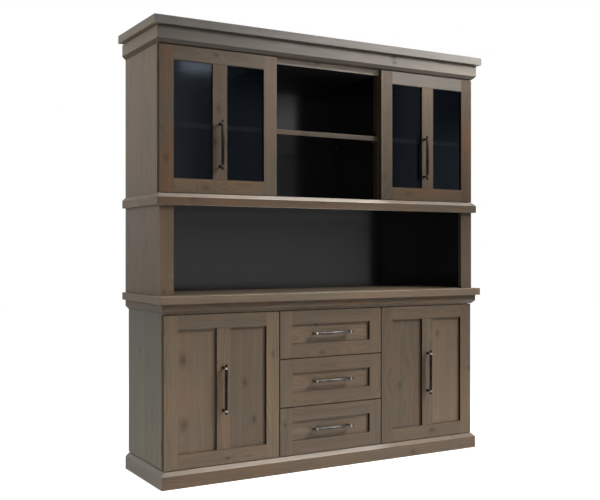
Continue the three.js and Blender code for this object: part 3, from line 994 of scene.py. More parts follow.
class Piece:
    """A visual piece of one body and one slot, gathered from boards and turned parts."""

    def __init__(
        self,
        name: str,
        slot: Slot,
        finishes: Sequence[Finish],
        body: str = CABINET,
        replaces: Sequence[str] = (),
        flank: int | None = None,
    ) -> None:
        """Starts an empty piece.

        Args:
            name: Name of the piece.
            slot: The record's slot that it stands for; it is not used.
            finishes: Its finishes, which its parts name by their place.
            body: Body that it rides on.
            replaces: CAD nodes that it stands for.
            flank: Place of the finish of the faces that look sideways, if they have their own.
        """
        self.name = name
        self.slot = slot
        self.finishes = finishes
        self.body = body
        self.replaces = replaces
        self.flank = flank
        self.parts: list[tuple[Shape, Lay, Timber, int]] = []
        self.turned: set[int] = set()

    def add(self, shape: Shape, lay: Lay, timber: Timber = TURNED, finish: int = 0) -> None:
        """Adds a part with its lay, its timber and its finish."""
        self.parts.append((shape, lay, timber, finish))

    def board(
        self,
        label: str,
        stick: Stick,
        cuts: Sequence[Shape] = (),
        finish: int = 0,
        look: Look = Look(),
    ) -> None:
        """Adds a board of its own timber.

        Args:
            label: Name of the board within the piece.
            stick: The board's form.
            cuts: Shapes cut out of it.
            finish: Place of its finish.
            look: Its look.
        """
        run, out, up = stick.spans
        width = max(out[1] - out[0], up[1] - up[0])
        timber = Timber.sawn(f"{self.name} {label}", run[1] - run[0], width, look)
        self.add(carve(stick.shape, cuts), stick.lay, timber, finish)

    def glue(self, label: str, sticks: Sequence[Stick], look: Look = Look()) -> None:
        """Adds several boards, which share a label and a look."""
        for i, stick in enumerate(sticks):
            self.board(f"{label} {i}", stick, look=look)

    def turn(
        self,
        profile: Sequence[Span],
        axis: Vector,
        foot: Vector,
        sides: int = 32,
        finish: int = 0,
    ) -> None:
        """Adds a turned part.

        Args:
            profile: Radius and distance along the axis, in order along it.
            axis: Direction of the axis.
            foot: Point of the axis at distance 0.
            sides: Facets round it.
            finish: Place of its finish.
        """
        self.turned.add(len(self.parts))
        self.add(*lathe(profile, axis, foot, sides), finish=finish)

    def measure_points(self) -> dict[str, list[float]]:
        """Gathers what each point carries for the finishes.

        Returns:
            For each attribute, three numbers for every point in turn.
        """
        names = ("grain", "pith", "tint", "knot_1", "knot_2")
        flat: dict[str, list[float]] = {name: [] for name in names}
        for shape, lay, timber, _ in self.parts:
            look = timber.look
            knots = [*look.knots, NO_KNOT, NO_KNOT]
            half = max(abs((point - lay.middle).dot(lay.along)) for point in shape.points)
            for point in shape.points:
                off = point - lay.middle
                along = off.dot(lay.along)
                tone = look.tone * (1 + look.fade * along / half)
                flat["grain"] += [along, off.dot(lay.across), off.dot(lay.deep)]
                flat["pith"] += [timber.start, *timber.pith]
                flat["tint"] += [tone, look.warmth, look.grey]
                flat["knot_1"] += knots[0]
                flat["knot_2"] += knots[1]
        return flat

    def finish(self) -> None:
        """Writes the piece and hands it to the frame."""
        mesh = write_mesh(self.name, [part[0] for part in self.parts])
        for name, flat in self.measure_points().items():
            mesh.attributes.new(name, "FLOAT_VECTOR", "POINT").data.foreach_set("vector", flat)
        for finish in self.finishes:
            mesh.materials.append(finish.material())
        places: list[int] = []
        smooth: list[bool] = []
        for i, (shape, _, _, place) in enumerate(self.parts):
            places += [place] * len(shape.faces)
            smooth += [i in self.turned] * len(shape.faces)
        if self.flank is not None:
            for polygon in mesh.polygons:
                if abs(polygon.normal.x) > SIDEWAYS:
                    places[polygon.index] = self.flank
        mesh.polygons.foreach_set("material_index", places)
        mesh.set_sharp_from_angle(angle=math.radians(SHARP_DEG))
        mesh.polygons.foreach_set("use_smooth", smooth)
        item = bpy.data.objects.new(self.name, mesh)
        bpy.context.scene.collection.objects.link(item)
        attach(item, self.body)
        if self.replaces:
            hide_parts(*self.replaces)
        log.info("%s: %d parts on %s", self.name, len(self.parts), self.body)


# Joinery


@dataclass(frozen=True)
class Moulding:
    """A moulding round the front and both sides, mitred at the corners."""

    half_x: float
    front_y: float
    z: Span
    depth: float
    slope: str = ""  # "top" or "foot": which outer edge slopes
    back_y: float = 246.0
    chamfer: float = 16.0

    def section(self, outer: float) -> tuple[Span, ...]:
        """Draws the moulding's section.

        Args:
            outer: Distance of its outer face off the middle.

        Returns:
            The corners, without any that coincide.
        """
        low, high = self.z
        foot = self.chamfer if self.slope == "foot" else 0.0
        head = self.chamfer if self.slope == "top" else 0.0
        corners = [
            (outer - self.depth, low),
            (outer - foot, low),
            (outer, low + foot),
            (outer, high - head),
            (outer - head, high),
            (outer - self.depth, high),
        ]
        return tuple(
            corner
            for i, corner in enumerate(corners)
            if math.dist(corner, corners[i - 1]) > 0.01
        )

    def filler(self, back_y: float) -> Stick:
        """The board behind the front leg, back to a depth."""
        reach = self.half_x - self.depth
        return board(((-reach, reach), (self.front_y + self.depth, back_y), self.z), Axis.X)

    def legs(self, **front: object) -> dict[str, Stick]:
        """Lays out the front leg and the two side legs.

        Args:
            **front: What differs on the front leg's stick.

        Returns:
            The sticks by their place.
        """
        inner_x = self.half_x - self.depth
        inner_y = self.front_y + self.depth
        ahead = Stick(
            self.section(-self.front_y),
            (-inner_x, inner_x),
            Axis.X.vector,
            -Axis.Y.vector,
            Axis.Z.vector,
            skew=(-1.0, 1.0),
            ends=(0.15, 0.15),
        )
        legs = {"front": replace(ahead, **front)}
        for side in Side:
            legs[side.word] = Stick(
                self.section(self.half_x),
                (inner_y, self.back_y),
                Axis.Y.vector,
                side.out,
                Axis.Z.vector,
                skew=(-1.0, 0.0),
                ends=(0.15, 0.8),
            )
        return legs


def add_legs(
    piece: Piece,
    legs: Mapping[str, Stick],
    front: Look,
    sides: Look,
    cuts: Mapping[str, Shape] | None = None,
) -> None:
    """Adds a moulding's legs, the front in the piece's first finish and the sides in its second.

    Args:
        piece: Piece that they join.
        legs: The sticks by their place.
        front: Look of the front leg.
        sides: Look of the side legs.
        cuts: What is cut out of each leg.
    """
    for place, stick in legs.items():
        own = [cuts[place]] if cuts else []
        ahead = place == "front"
        piece.board(place, stick, own, 0 if ahead else 1, front if ahead else sides)


def add_screw(
    piece: Piece, place: Vector, facing: Axis, sign: int, radius: float, finish: int = 0
) -> None:
    """Adds a countersunk slotted screw head, a hair proud of its face.

    Args:
        piece: Piece that the screw joins.
        place: Middle of the head, on the face that it is sunk in.
        facing: Axis that the head faces along.
        sign: Way along that axis.
        radius: Radius of the head.
        finish: Place of its finish in the piece.
    """
    a, b = (axis.vector for axis in Axis if axis is not facing)
    out = facing.vector * sign
    level = place.dot(out)
    slot = 0.16 * radius
    angles = [math.pi * i / 8 for i in range(9)]
    for half in (1, -1):
        rim = [
            (radius * math.cos(t), half * (slot + (radius - slot) * math.sin(t))) for t in angles
        ]
        section = tuple((x + place.dot(a), y + place.dot(b)) for x, y in rim)
        run = (level - 0.3, level + 0.08)
        stick = Stick(section, run, out, a, b, eases=(0.05,), ends=(0.0, 0.05))
        piece.add(stick.shape, stick.lay, finish=finish)


# Sub-assemblies

BACK_Y = 246.0
PANEL_BACK_Y = 240.0
BASE_EDGE_Y = -182.0
HUTCH_EDGE_Y = -170.0
BASE_FACE_Y = -206.0
HUTCH_FACE_Y = -194.0
LEAF_T = 22.0
BOARD_T = 22.0
KERF = 6.0  # shadow line over the plinth and under the crown
HALF_GAP = 1.0  # half the gap between a leaf and its case, where the hinges' axes lie
STRIP = 16.0  # thickness of the moulded strips


@dataclass(frozen=True)
class Plinth:
    """The plinth: a mitred ring of rails with a bearer across its middle."""

    half_x: float = 878.5
    front_y: float = -226.0
    z: Span = (0.0, 75.0)
    rail: float = 60.0
    bearer_x: Span = (-30.0, 30.0)

    def build(self) -> None:
        """Builds the plinth."""
        piece = Piece("plinth_boards", Slot.WOOD, [EDGE_LIT, MATT, STAINED], replaces=["plinth"])
        ring = Moulding(self.half_x, self.front_y, self.z, self.rail, "top")
        # The top slope's edge is painted pale, as a painted highlight.
        legs = ring.legs(glazed={2: 0.34})
        add_legs(piece, legs, Look(0.86, 0.3, 0.05, 0.1), Look(1.38, 0.0, 0.7))
        inner = self.half_x - self.rail
        back = ((-inner, inner), (BACK_Y - self.rail, BACK_Y), self.z)
        piece.board("back", board(back, Axis.X), finish=2)
        depth = (self.front_y + self.rail, BACK_Y - self.rail)
        piece.board("bearer", board((self.bearer_x, depth, self.z), Axis.Y), finish=2)
        piece.finish()


@dataclass(frozen=True)
class ButtHinge:
    """A butt hinge of bent steel on a corner of the case: two leaves, three knuckles and a pin."""

    high: float = 60.0
    knuckles: int = 3
    radius: float = 2.6
    pin: float = 1.2
    # Off the hinge's axis, across it: the leaf, and the tabs that reach to the knuckles.
    leaf: Span = (3.2, 20.0)
    tab: Span = (1.5, 4.0)
    sheet: Span = (0.1, 0.95)  # faces of the bent sheet, off the axis
    clear: float = 0.3
    inset: float = 100.0  # from the door's end to the hinge's middle
    screw: float = 2.4
    # Each screw's distance off the axis, and its height over the hinge's middle.
    screws: tuple[Span, ...] = ((14.0, -20.0), (9.5, 0.0), (14.0, 20.0))

    def spans(self, middle: float) -> list[Span]:
        """The knuckles' spans of Z, from the lowest."""
        return split((middle - self.high / 2, middle + self.high / 2), self.high / self.knuckles)

    def heights(self, span: Span) -> Span:
        """Heights of the middles of a door's two hinges, from the door's span of Z."""
        return grown(span, -self.inset)

    def rooms(self, axis: Vector, span: Span) -> list[Shape]:
        """Shapes the rooms that a door's two barrels take in the wood.

        Args:
            axis: Point of the hinges' axis.
            span: The door's span of Z.

        Returns:
            The rooms, from the lower.
        """
        reach, rooms = self.radius + self.clear, []
        for middle in self.heights(span):
            ends = grown((middle, middle), self.high / 2 + self.clear)
            rooms.append(lathe([(reach, end) for end in ends], Axis.Z.vector, axis, 16)[0])
        return rooms

    def add_leaf(self, piece: Piece, axis: Vector, middle: float, side: Side, ahead: bool) -> None:
        """Adds one leaf with the tabs that its knuckles are bent from, and three screws.

        Args:
            piece: Piece that the leaf joins.
            axis: Point of the hinge's axis.
            middle: Height of the hinge's middle.
            side: Side of the dresser that the hinge is on.
            ahead: Whether it is the door's leaf, in front of the axis.
        """
        way = -side.value
        sign = -1 if ahead else 1
        depth = between(*(axis.y + sign * off for off in self.sheet))
        reach = between(*(axis.x + way * off for off in self.leaf))
        tab = between(*(axis.x + way * off for off in self.tab))
        high = grown((middle, middle), self.high / 2)
        plate = board((reach, depth, high), Axis.Z, eases=(0.2,), ends=(0.2, 0.2))
        piece.add(plate.shape, plate.lay)
        for i, span in enumerate(self.spans(middle)):
            if (i % 2 == 1) is ahead:
                own = grown(span, -self.clear)
                stick = board((tab, depth, own), Axis.Z, eases=(0.1,), ends=(0.1, 0.1))
                piece.add(stick.shape, stick.lay)
                barrel = rod(self.radius, own, (0.35, 0.35))
                piece.turn(barrel, Axis.Z.vector, axis, sides=24)
        face = depth[1] if ahead else depth[0]
        for off, lift in self.screws:
            place = Vector((axis.x + way * off, face, middle + lift))
            add_screw(piece, place, Axis.Y, -sign, self.screw)

    def add_pin(self, piece: Piece, axis: Vector, middle: float) -> None:
        """Adds the pin, with its two small heads."""
        profile = rod(self.pin, grown((middle, middle), self.high / 2), (0.6, 0.4))
        piece.turn(profile, Axis.Z.vector, axis, sides=16)


HINGE = ButtHinge()


@dataclass(frozen=True)
class BarPull:
    """A turned bar pull on two posts, with rubbed collars and rounded tips."""

    span: float = 192.0
    reach: float = 30.0
    bar: float = 7.2
    collar: float = 8.3
    collar_w: float = 9.0
    neck: float = 4.6
    neck_l: float = 2.5
    tip: float = 6.4
    tip_l: float = 13.0
    post: float = 5.2
    rosette: float = 8.0
    rosette_t: float = 3.0

    def build(
        self,
        name: str,
        body: str,
        at: Vector,
        along: Axis,
        replaces: str,
        metals: Sequence[Finish],
    ) -> None:
        """Builds the pull.

        Args:
            name: Name of the piece.
            body: Body that it rides on.
            at: Middle between its posts, on the face that they stand on.
            along: Direction of the bar.
            replaces: CAD node that it stands for.
            metals: Finish of its bar, tips and posts, and that of its collars.
        """
        piece = Piece(name, Slot.BRONZE, metals, body, [replaces])
        way = along.vector
        middle = at - Axis.Y.vector * self.reach
        inner = self.span / 2 - self.collar_w / 2
        piece.turn(rod(self.bar, (-inner, inner), (0.3, 0.5)), way, middle)
        for sign in (-1, 1):
            self.add_end(piece, middle, way * sign)
            self.add_post(piece, at + way * sign * (self.span / 2))
        piece.finish()

    def add_end(self, piece: Piece, middle: Vector, out: Vector) -> None:
        """Adds a collar with its two beads, and the neck and tip beyond it.

        Args:
            piece: Piece that they join.
            middle: Middle of the bar.
            out: Way from there to this end.
        """
        inner = self.span / 2 - self.collar_w / 2
        outer = inner + self.collar_w
        bead = ((1.2, 0.0), (0.3, 0.6), (0.0, 1.6), (0.7, 2.6))
        collar = [(self.collar - low, inner + back) for low, back in bead]
        collar += [(self.collar - low, outer - back) for low, back in reversed(bead)]
        piece.turn(collar, out, middle, finish=1)
        start = outer + self.neck_l
        ball = self.tip_l - 2 * self.neck_l
        tip = [(self.neck, outer - 0.5), (self.neck, start), (self.tip, start + self.neck_l)]
        for i in range(1, 8):
            turn = i / 7 * math.pi / 2
            tip.append((self.tip * math.cos(turn), start + self.neck_l + ball * math.sin(turn)))
        piece.turn(tip, out, middle)

    def add_post(self, piece: Piece, foot: Vector) -> None:
        """Adds a post with its rosette, from the face out to the bar.

        Args:
            piece: Piece that it joins.
            foot: Middle of its foot, on the face.
        """
        profile = [
            (self.rosette - 0.4, 0.0),
            (self.rosette, 0.4),
            (self.rosette, self.rosette_t / 2),
            (self.rosette - 1.2, self.rosette_t * 0.8),
            (self.post + 0.6, self.rosette_t),
            (self.post, self.rosette_t + 1.0),
            (self.post - 0.6, self.reach / 2),
            (self.post, self.reach - 4.0),
        ]
        piece.turn(profile, -Axis.Y.vector, foot)


PULL = BarPull()


@dataclass(frozen=True)
class FramedLeaf:
    """A frame of stiles, rails and perhaps a mullion, with a seat for each panel or pane."""

    name: str  # of the leaf and of its body
    x: Span
    z: Span
    face_y: float
    rail: float
    mullion: float = 0.0
    seat: Span = (13.0, 27.0)
    stile: float = 68.0
    lap: float = 9.0
    fit: float = 0.3
    shade: float = 2.0  # how dark its outer edges are painted, as painted shade beside the case
    looks: Mapping[str, Look] = field(default_factory=dict)

    @property
    def lights(self) -> list[tuple[Span, Span]]:
        """Finds the openings.

        Returns:
            Their spans of X and Z, from the lower X.
        """
        clear_z = grown(self.z, -self.rail)
        clear_x = grown(self.x, -self.stile)
        if not self.mullion:
            return [(clear_x, clear_z)]
        middle = sum(clear_x) / 2
        half = self.mullion / 2
        return [((clear_x[0], middle - half), clear_z), ((middle + half, clear_x[1]), clear_z)]

    def stiles(self, knuckled: Side | None) -> dict[str, Stick]:
        """Lays out the stiles, whose outer corners are rounder than those at the joints.

        Args:
            knuckled: Side of the leaf that its hinges are on.

        Returns:
            The sticks by the names of their parts.
        """
        depth = (self.face_y, self.face_y + LEAF_T)
        sticks = {}
        for side in Side:
            ends = (self.x, grown(self.x, -self.stile))
            outer, inner = (span[side is Side.RIGHT] for span in ends)
            outside = 3 if side is Side.LEFT else 1
            eases = [0.3] * 4
            eases[outside] = eases[(outside + 1) % 4] = 1.4
            # The sides along the openings are painted dark, as painted shade in the recesses, and
            # the outer side is painted shade in the gap, less on the hinge side.
            glazed = {4 - outside: 2.0, outside: 0.6 if side is knuckled else self.shade}
            form = {"eases": tuple(eases), "ends": (1.4, 1.4), "glazed": glazed}
            spans = (between(outer, inner), depth, self.z)
            sticks[f"stile_{side.word}"] = board(spans, Axis.Z, **form)
        return sticks

    def build_frame(self, rooms: Sequence[Shape] = (), knuckled: Side | None = None) -> None:
        """Builds the frame.

        Args:
            rooms: Rooms for hinges' barrels.
            knuckled: Side of the leaf that they are on.
        """
        finishes, nodes = [SHADE_EDGED, EDGED], [f"{self.name}_frame"]
        piece = Piece(f"{self.name}_boards", Slot.WOOD, finishes, self.name, nodes, flank=1)
        depth = (self.face_y, self.face_y + LEAF_T)
        seat_y = (self.face_y + self.seat[0], self.face_y + self.seat[1])
        seats = [box((grown(x, self.lap), seat_y, grown(z, self.lap))) for x, z in self.lights]
        inner = grown(self.x, -self.stile)
        clear_z = grown(self.z, -self.rail)
        sticks = self.stiles(knuckled)
        sticks["foot"] = board((inner, depth, (self.z[0], clear_z[0])), Axis.X)
        sticks["head"] = board((inner, depth, (clear_z[1], self.z[1])), Axis.X)
        if self.mullion:
            spans = ((self.lights[0][0][1], self.lights[1][0][0]), depth, clear_z)
            # The mullion's sides along the openings are painted dark, as painted shade in the
            # recesses.
            sticks["mullion"] = board(spans, Axis.Z, eases=(0.3,), glazed={1: 2.0, 3: 2.0})
        for part, stick in sticks.items():
            hinged = knuckled is not None and part == f"stile_{knuckled.word}"
            cuts = [*seats, *rooms] if hinged else seats
            piece.board(part, stick, cuts, look=self.looks.get(part, Look()))
        piece.finish()

    def build_panels(self, grain: Axis) -> None:
        """Builds the recessed panels.

        Args:
            grain: Direction of their grain.
        """
        depth = (self.face_y + self.seat[0], self.face_y + LEAF_T)
        reach = self.lap - self.fit
        for i, (x, z) in enumerate(self.lights):
            part = "panel" if not self.mullion else f"panel_{i + 1}"
            node = f"{self.name}_{part}"
            piece = Piece(f"{node}_board", Slot.WOOD, [STAINED], self.name, [node])
            stick = board((grown(x, reach), depth, grown(z, reach)), grain, eases=(0.4,))
            piece.board("board", stick, look=self.looks.get(part, Look()))
            piece.finish()


@dataclass(frozen=True)
class HungDoor:
    """A framed door on two hinges, with a bar pull."""

    leaf: FramedLeaf
    side: Side
    pull_x: float
    pull_z: float
    hinges: str  # start of the hinge nodes' names
    metals: tuple[Finish, ...] = (BRONZE, RUBBED)  # of the pull and its collars

    @property
    def axis(self) -> Vector:
        """A point of the hinges' axis, on the floor."""
        outer = self.leaf.x[self.side is Side.RIGHT]
        return Vector((outer, self.leaf.face_y + LEAF_T + HALF_GAP, 0.0))

    def build(self) -> None:
        """Builds the door's frame, pull and hinges."""
        name = self.leaf.name
        heights = HINGE.heights(self.leaf.z)
        self.leaf.build_frame(HINGE.rooms(self.axis, self.leaf.z), self.side)
        at = Vector((self.pull_x, self.leaf.face_y, self.pull_z))
        PULL.build(f"{name}_bar_pull", name, at, Axis.Z, f"{name}_pull", self.metals)
        moving = Piece(f"{name}_hinge_leaves", Slot.STEEL, [BROWNED], name)
        for z in heights:
            HINGE.add_leaf(moving, self.axis, z, self.side, ahead=True)
        moving.finish()
        for z, level in zip(heights, ("lower", "upper")):
            node = f"{self.hinges}_hinge_{self.side.word}_{level}"
            fixed = Piece(f"{node}_leaf", Slot.STEEL, [BROWNED], replaces=[node])
            HINGE.add_leaf(fixed, self.axis, z, self.side, ahead=False)
            HINGE.add_pin(fixed, self.axis, z)
            fixed.finish()


@dataclass(frozen=True)
class DrawerBox:
    """A drawer's box: finger-jointed walls, a plywood floor, and grooves for its runners."""

    number: int
    foot: float
    half_x: float = 275.5
    y: Span = (-184.0, 196.0)
    lift: float = 34.0
    high: float = 150.0
    wall: float = 12.0
    floor_t: float = 6.0
    floor_lift: float = 8.0
    groove_deep: float = 7.0
    groove_half: float = 5.3  # half its height
    groove_start: float = -158.3
    fingers: int = 5
    past: float = 2.0  # how far the cuts run out of the wood
    # The screws that hold the front: their places in X, and up from the box's foot.
    screws_x: tuple[float, ...] = (-180.0, 0.0, 180.0)
    screws_z: tuple[float, ...] = (40.0, 120.0)
    screw: float = 3.6

    def build(self) -> None:
        """Builds the box."""
        name = f"drawer_{self.number}"
        low = self.foot + self.lift
        piece = Piece(f"{name}_walls", Slot.BOX, [CLEAR, ZINC], name, [f"{name}_box"])
        groove_z = grown((low + self.high / 2,) * 2, self.groove_half)
        steps = split((low, low + self.high), self.high / self.fingers)
        front = (self.y[0], self.y[0] + self.wall)
        back = (self.y[1] - self.wall, self.y[1])
        notches = ((front[0] - self.past, front[1]), (back[0], back[1] + self.past))
        for side in Side:
            x = side.span(self.half_x - self.wall, self.half_x)
            groove_x = side.span(self.half_x - self.groove_deep, self.half_x + self.past)
            cuts = [box((groove_x, (self.groove_start, self.y[1] + self.past), groove_z))]
            cuts += [box((grown(x, self.past), y, step)) for y in notches for step in steps[1::2]]
            stick = board((x, self.y, (low, low + self.high)), Axis.Y, eases=(0.8,))
            piece.board(f"side {side.word}", stick, cuts)
        inner = self.half_x - self.wall
        for place, y in (("front", front), ("back", back)):
            stick = board(((-inner, inner), y, (low, low + self.high)), Axis.X, eases=(0.8,))
            piece.board(place, stick)
            for side in Side:
                for i, step in enumerate(steps[1::2]):
                    reach = side.span(inner, self.half_x)
                    finger = board((reach, y, step), Axis.X, eases=(0.15,), ends=(0.15, 0.15))
                    piece.board(f"{place} finger {side.word} {i}", finger, look=CLEAN)
        floor = (
            (-inner, inner),
            (self.y[0] + self.wall, self.y[1] - self.wall),
            (low + self.floor_lift, low + self.floor_lift + self.floor_t),
        )
        piece.glue("floor", staves(floor, Axis.Y, Axis.X, 190.0), Look(1.05, knots=()))
        for x in self.screws_x:
            for z in self.screws_z:
                place = Vector((x, front[1], low + z))
                add_screw(piece, place, Axis.Y, 1, self.screw, finish=1)
        piece.finish()


def staved(name: str, spans: Spans, grain: Axis, finishes: Sequence[Finish] = (STAINED,)) -> Piece:
    """Starts the piece of a CAD board, glued from staves that lie one behind the other.

    Args:
        name: Name of the CAD node.
        spans: Spans of X, Y and Z.
        grain: Direction of the grain.
        finishes: The piece's finishes, the first of which is the board's.

    Returns:
        The piece, which isn't written yet.
    """
    piece = Piece(f"{name}_staves", Slot.WOOD, finishes, replaces=[name])
    piece.glue("stave", staves(spans, grain, Axis.Y))
    return piece


@dataclass(frozen=True)
class LowCase:
    """The low case: sides, floor, ceiling, dividers with runners, shelves and back panel."""

    half_x: float = 862.5
    z: Span = (75.0, 806.0)
    board_t: float = BOARD_T
    bay_x: float = 277.0
    shelf_z: float = 430.0
    door_z: Span = (77.0, 757.0)
    shelf_inset: float = 20.0
    back_lap: float = 10.0  # how far the back panel reaches into the sides
    # The runners: their heights, and how far they stand out of the dividers and into them.
    runners: tuple[float, ...] = (186.0, 413.667, 641.333)
    runner_out: float = 8.2
    runner_in: float = 4.0
    runner_half: float = 5.0
    runner_inset: float = 24.0
    screws_y: tuple[float, ...] = (-130.0, 30.0, 190.0)
    screw: float = 2.6

    def build(self) -> None:
        """Builds the case."""
        self.build_sides()
        self.build_inside()
        BackPanel("base_back", self.half_x - self.board_t + self.back_lap, self.z).build()

    def build_sides(self) -> None:
        """Builds the two side panels."""
        for side in Side:
            name = f"base_side_{side.word}"
            piece = Piece(f"{name}_staves", Slot.WOOD, [COOL_GREY], replaces=[name])
            panel = SidePanel(self.half_x, BASE_EDGE_Y, self.z, self.door_z, BASE_SIDE, True)
            panel.add_to(piece, side)
            piece.finish()

    def build_inside(self) -> None:
        """Builds the floor, ceiling, dividers, runners and shelves."""
        inner = self.half_x - self.board_t
        depth = (BASE_EDGE_Y, PANEL_BACK_Y)
        floor = (self.z[0], self.z[0] + self.board_t)
        ceiling = (self.z[1] - self.board_t, self.z[1])
        for name, z in {"base_bottom": floor, "base_top": ceiling}.items():
            staved(name, ((-inner, inner), depth, z), Axis.X).finish()
        for side in Side:
            outer = self.bay_x + self.board_t
            spans = (side.span(self.bay_x, outer), depth, (floor[1], ceiling[0]))
            piece = staved(f"base_divider_{side.word}", spans, Axis.Z, [STAINED, ZINC])
            for i, middle in enumerate(self.runners):
                self.add_runner(piece, side, i, middle)
            piece.finish()
            shelf_y = (BASE_EDGE_Y + self.shelf_inset, PANEL_BACK_Y)
            spans = (side.span(outer, inner), shelf_y, (self.shelf_z, self.shelf_z + self.board_t))
            staved(f"base_shelf_{side.word}", spans, Axis.X).finish()

    def add_runner(self, piece: Piece, side: Side, number: int, middle: float) -> None:
        """Adds a drawer's runner on a divider, with its three screws.

        Args:
            piece: Piece of the divider.
            side: Side of the dresser that the divider is on.
            number: Number of the runner, from the lowest.
            middle: Height of its middle.
        """
        reach = self.bay_x - self.runner_out
        x = side.span(reach, self.bay_x + self.runner_in)
        y = (BASE_EDGE_Y + self.runner_inset, PANEL_BACK_Y)
        spans = (x, y, grown((middle, middle), self.runner_half))
        stick = board(spans, Axis.Y, eases=(0.8,), ends=(1.0, 0.3))
        piece.board(f"runner {number}", stick, look=CLEAN)
        for y in self.screws_y:
            place = Vector((side.value * reach, y, middle))
            add_screw(piece, place, Axis.X, -side.value, self.screw, finish=1)


# How the boards of the case look: the low sides are paler at the foot, the hutch's at the top.
BASE_SIDE = Look(0.87, 0.0, 0.6, -0.45)
HUTCH_SIDE = Look(0.88, 0.25, 0.15, 0.38)
UNEVEN = (1.02, 0.96, 1.05, 0.99)  # how the staves of a side differ
# The top's lipping is made far lighter and greyer, and lighter to the right: painted light on a lip
# in the frieze's shadow. The side shelves' lippings are made lighter and greyer: painted light that
# shows through the panes.
LIP_LOOKS = {
    "hutch_top": Look(2.5, 0.0, 0.65, 0.4),
    "hutch_shelf_centre": Look(0.45, 0.4, 0.1, -0.3),
    "hutch_shelf_left": Look(1.4, 0.0, 0.6),
    "hutch_shelf_right": Look(1.4, 0.0, 0.6),
}
POST_LOOKS = {
    Side.LEFT: Look(0.79, 0.35, 0.03, -0.1),
    Side.RIGHT: Look(0.49, 0.15, 0.15, -0.22),
}


@dataclass(frozen=True)
class SidePanel:
    """A side panel of staves, with room for the door's hinges and a rebate for the back panel."""

    outer: float
    front_y: float
    z: Span
    door_z: Span
    look: Look
    kerf: bool = False  # whether a shadow line runs along its foot
    thick: float = BOARD_T
    rebate: float = 10.0
    past: float = 2.0  # how far the cuts run out of the wood

    def add_to(self, piece: Piece, side: Side) -> None:
        """Adds the staves to a piece.

        Args:
            piece: Piece that they join.
            side: Side of the dresser.
        """
        inner = self.outer - self.thick
        axis = Vector((side.value * self.outer, self.front_y - HALF_GAP, 0.0))
        rebate_x = side.span(inner - self.past, inner + self.rebate)
        rebate_y = (PANEL_BACK_Y, BACK_Y + self.past)
        kerf_x = side.span(self.outer - KERF, self.outer + self.past)
        kerf_y = (self.front_y - self.past, BACK_Y + self.past)
        kerf = box((kerf_x, kerf_y, (self.z[0] - 1.0, self.z[0] + KERF)))
        spans = (side.span(inner, self.outer), (self.front_y, BACK_Y), self.z)
        sticks = staves(spans, Axis.Z, Axis.Y)
        for i, stick in enumerate(sticks):
            cuts = HINGE.rooms(axis, self.door_z) if i == 0 else []
            if i == len(sticks) - 1:
                cuts.append(box((rebate_x, rebate_y, grown(self.z, self.past))))
            if self.kerf:
                cuts.append(kerf)
            tone = self.look.tone * UNEVEN[i % len(UNEVEN)]
            piece.board(f"stave {i}", stick, cuts, look=replace(self.look, tone=tone))


@dataclass(frozen=True)
class BackPanel:
    """A lacquered back panel with the nails that hold it."""

    node: str  # CAD node that it stands for
    half_x: float
    z: Span
    sunk: float = 0.6
    nail: tuple[Span, ...] = ((1.9, 0.0), (2.2, 0.2), (1.6, 0.5))  # profile of a nail's head
    # How far the rows of nails lie in from the sides, the foot and the head, and their pitches.
    in_x: float = 5.0
    in_z: Span = (10.0, 12.0)
    pitch: Span = (140.0, 110.0)

    def build(self) -> None:
        """Builds the panel."""
        panel = Piece(f"{self.node}_panel", Slot.BLACK, [BLACK, ZINC], replaces=[self.node])
        across, face = (-self.half_x, self.half_x), BACK_Y - self.sunk
        sheet = board((across, (PANEL_BACK_Y, face), self.z), Axis.Z, eases=(0.5,))
        panel.board("panel", sheet, look=CLEAN)
        rows = (self.z[0] + self.in_z[0], self.z[1] - self.in_z[1])
        parts_x, parts_z = split(across, self.pitch[0]), split(self.z, self.pitch[1])
        places = [(x, sum(part) / 2) for x in grown(across, -self.in_x) for part in parts_z]
        places += [(sum(part) / 2, z) for z in rows for part in parts_x]
        for x, z in places:
            panel.turn(self.nail, Axis.Y.vector, Vector((x, face, z)), sides=12, finish=1)
        panel.finish()


@dataclass(frozen=True)
class Apron:
    """The apron moulding under the counter, mitred, with a filler behind its front."""

    half_x: float = 878.5
    front_y: float = -226.0
    z: Span = (760.0, 806.0)

    def build(self) -> None:
        """Builds the apron."""
        piece = Piece("apron_strips", Slot.WOOD, [STAINED, COOL_GREY], replaces=["apron_moulding"])
        strips = Moulding(self.half_x, self.front_y, self.z, STRIP, "foot")
        add_legs(piece, strips.legs(), Look(0.64, 0.45, 0.0), Look(0.47, 0.2, 0.2))
        piece.board("filler", strips.filler(BASE_EDGE_Y))
        piece.finish()


@dataclass(frozen=True)
class Counter:
    """The counter board, of staves along the front."""

    half_x: float = 894.5
    front_y: float = -246.0
    z: Span = (806.0, 841.0)

    def build(self) -> None:
        """Builds the counter."""
        piece = Piece(
            "counter_staves", Slot.WOOD, [STAINED, MATT], replaces=["counter_top"], flank=1
        )
        spans = ((-self.half_x, self.half_x), (self.front_y, BACK_Y), self.z)
        for i, stick in enumerate(staves(spans, Axis.X, Axis.Y, ends=(1.0, 1.0))):
            if i == 0:  # in front, with the more rounded edge, and lacquered the most
                stick = replace(stick, eases=(1.0, 0.15, 0.15, 2.2))
            look = Look(0.92, 0.25, 0.2) if i == 0 else Look(0.84, 0.15, 0.2)
            piece.board(f"stave {i}", stick, finish=0 if i == 0 else 1, look=look)
        piece.finish()


